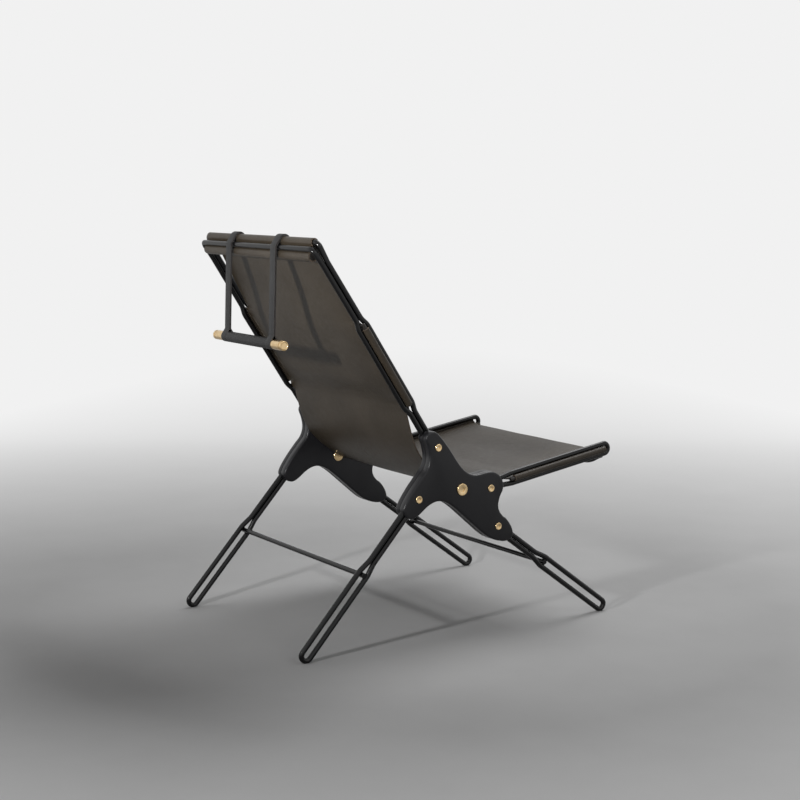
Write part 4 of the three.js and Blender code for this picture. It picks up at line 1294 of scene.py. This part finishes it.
CLOTH = {
    "quality": 6, "mass": 0.4, "tension_stiffness": 30, "compression_stiffness": 30,
    "shear_stiffness": 15, "bending_stiffness": 1.5, "use_pressure": True,
    "uniform_pressure_force": 4.0,
}
CLOTH_FRAMES = 20


def filled(vertices, faces):
    """Blows the sewn layers up a little with cloth, so that they crease as filled leather does."""
    form = plain_mesh("pillow_form", [[c * 0.001 for c in v] for v in vertices], faces)
    cloth = form.modifiers.new("cloth", "CLOTH")
    for key, value in CLOTH.items():
        setattr(cloth.settings, key, value)
    cloth.settings.effector_weights.gravity = 0
    cloth.point_cache.frame_start = 1
    cloth.point_cache.frame_end = CLOTH_FRAMES
    for number in range(1, CLOTH_FRAMES + 1):
        bpy.context.scene.frame_set(number)
    evaluated = form.evaluated_get(bpy.context.evaluated_depsgraph_get())
    moved = [v.co * 1000 for v in evaluated.to_mesh().vertices]
    evaluated.to_mesh_clear()
    form.modifiers.clear()
    bpy.context.scene.frame_set(1)
    data = form.data
    bpy.data.objects.remove(form)
    bpy.data.meshes.remove(data)
    out = []
    for old, new in zip(vertices, moved):
        step = new - Vector(old)
        out.append(Vector(old) + step * min(1.0, PILLOW_CAP / max(step.length, 1e-6)))
    return out


def on_back(points):
    """Puts pillow coordinates (across, up, forward) in front of the back leather."""
    middle = PILLOW_TOP - PILLOW_HIGH / 2
    return [BACK.at(middle + b, STRAP_SIDE + max(c, -PILLOW_BACK), a) for a, b, c in points]


def build_pillow():
    vertices, faces, ring = pillow_form()
    points = filled(vertices, faces)
    # Small puckers along the seam
    puckered = []
    for a, b, c in points:
        inside = min(PILLOW_WIDE / 2 - abs(a), PILLOW_HIGH / 2 - abs(b))
        ripple = 0.7 * sin((a + b) * 0.42) * exp(-max(inside - PILLOW_SEAM, 0) / 9)
        puckered.append((a, b, c + (ripple if c > 0.5 else 0)))
    wide = min(1.0, (PILLOW_WIDE / 2 - PILLOW_CLEAR) / max(abs(a) for a, _, _ in puckered))
    high = min(1.0, (PILLOW_HIGH / 2 - PILLOW_CLEAR) / max(abs(b) for _, b, _ in puckered))
    full = (PILLOW_THICK - PILLOW_BACK - 3) / max(c for _, _, c in puckered)
    puckered = [(a * wide, b * high, c * full if c > 0 else c) for a, b, c in puckered]
    piece = mesh_object("neck_pillow_leather", on_back(puckered), faces, [STRAP], angle=60)
    modify(piece, "SUBSURF", levels=1, render_levels=1)
    apply_modifiers(piece)
    path = on_back([puckered[i] for i in ring])
    path.append(path[0])
    rings = [circle_ring(PIPING, 10)] * len(path)
    piping = swept("neck_pillow_piping", path, rings, [STRAP], closed_ends=False)
    return piece, piping


pillow, piping = build_pillow()
finish_piece(pillow, "pillow_leather", "neck_pillow", body="headrest")
finish_piece(piping, "pillow_leather", body="headrest")


# Floor, light and camera

FLOOR_COLOUR = (0.56, 0.56, 0.56)
WALL_COLOUR = (0.88, 0.88, 0.88)
FLOOR_FADE = (0.9, 3.4)  # metres from the chair between which the floor turns white
FLOOR_FRONT = 5.0
FLOOR_BACK = -2.6
COVE = 1.2  # radius between the floor and the backdrop
STAGE_HIGH = 5.0
STAGE_HALF = 7.0
WORLD_LIGHT = 0.13
STAGE_TURN = 57.4  # degrees, so that the backdrop faces the camera


def stage_paint():
    """A pale floor that fades into white away from the chair, whatever light falls there."""
    s = Shader("stage_paint", FLOOR_COLOUR, 0.75)
    reach = s.node("ShaderNodeVectorMath", Vector=s.place)
    reach.operation = "LENGTH"
    away = s.span(reach.outputs["Value"], 0.0, 1.0, *FLOOR_FADE)
    dark, light = (tuple(c * share for c in FLOOR_COLOUR) for share in (0.95, 1.04))
    s.done(s.ramp(s.noise(3, 5), (0.3, dark), (0.7, light)), s.span(s.noise(20, 3), 0.7, 0.8))
    white = s.node("ShaderNodeEmission", Color=(*WALL_COLOUR, 1), Strength=1.0)
    share = s.maths("MULTIPLY", s.watched(), away)
    s.show("Material Output", share, s.surface.outputs[0], white.outputs[0])
    return s.material


def stage_floor():
    centre = (FLOOR_BACK, COVE)
    cove = arc(centre, COVE, -pi / 2, -pi, 8)
    profile = [(FLOOR_FRONT, 0), *cove, (FLOOR_BACK - COVE, STAGE_HIGH)]
    turn = Matrix.Rotation(radians(STAGE_TURN), 3, "Z")
    sides = (-STAGE_HALF, STAGE_HALF)
    points = [turn @ Vector((x, depth, height)) for depth, height in profile for x in sides]
    floor = plain_mesh("floor", points, strips(len(profile), 2, closed=False))
    floor.data.materials.append(stage_paint())
    floor.data.shade_smooth()


stage_floor()


def aim(thing, place, direction):
    thing.location = place
    thing.rotation_euler = direction.to_track_quat("-Z", "Y").to_euler()


def lamp(name, place, target, size, power, spread=180):
    data = bpy.data.lights.new(name, "AREA")
    data.shape = "DISK"
    data.size = size
    data.energy = power
    data.spread = radians(spread)
    light = in_scene(name, data)
    light.visible_camera = False
    aim(light, place, Vector(target) - Vector(place))


lamp("key", (-0.7, 1.72, 1.0), (-0.08, 0.42, 0.87), 0.12, 4.7, 76)
lamp("top", (0.5, -1.5, 2.9), (0, -0.1, 0.3), 1.8, 38)
lamp("side", (-3.2, -0.6, 2.6), (0, 0, 0.4), 1.6, 11)
lamp("window", (1.8, 3.8, 1.9), (0, 0.1, 0.6), 1.8, 4)


def surroundings():
    """A dim even light, seen as the backdrop's white where a ray goes past the stage."""
    world = bpy.data.worlds.new("studio")
    world.use_nodes = True
    bpy.context.scene.world = world
    graph = Graph(world.node_tree)
    lit = graph.tree.nodes["Background"]
    graph.put(lit, "Color", (1, 1, 1, 1))
    graph.put(lit, "Strength", WORLD_LIGHT)
    seen = graph.node("ShaderNodeBackground", Color=(*WALL_COLOUR, 1), Strength=1.0)
    graph.show("World Output", graph.watched(), lit.outputs[0], seen.outputs[0])


surroundings()

# The photograph's camera: its place, its angles in degrees and its focal length in pixels of 800
CAMERA_AT = (-3198.8, 2040.3, 1002.2)
YAW, PITCH = radians(-32.6), radians(-7.5)
FOCAL = 1627
SENSOR = 36

data = bpy.data.cameras.new("camera")
data.sensor_width = SENSOR
data.lens = FOCAL / 800 * SENSOR
camera = in_scene("camera", data)
across, ahead = sin(YAW), cos(YAW)
view = Vector((cos(PITCH) * ahead, cos(PITCH) * across, sin(PITCH)))
aim(camera, metres(CAMERA_AT), view)
bpy.context.scene.camera = camera
bpy.context.scene.view_settings.view_transform = "Standard"
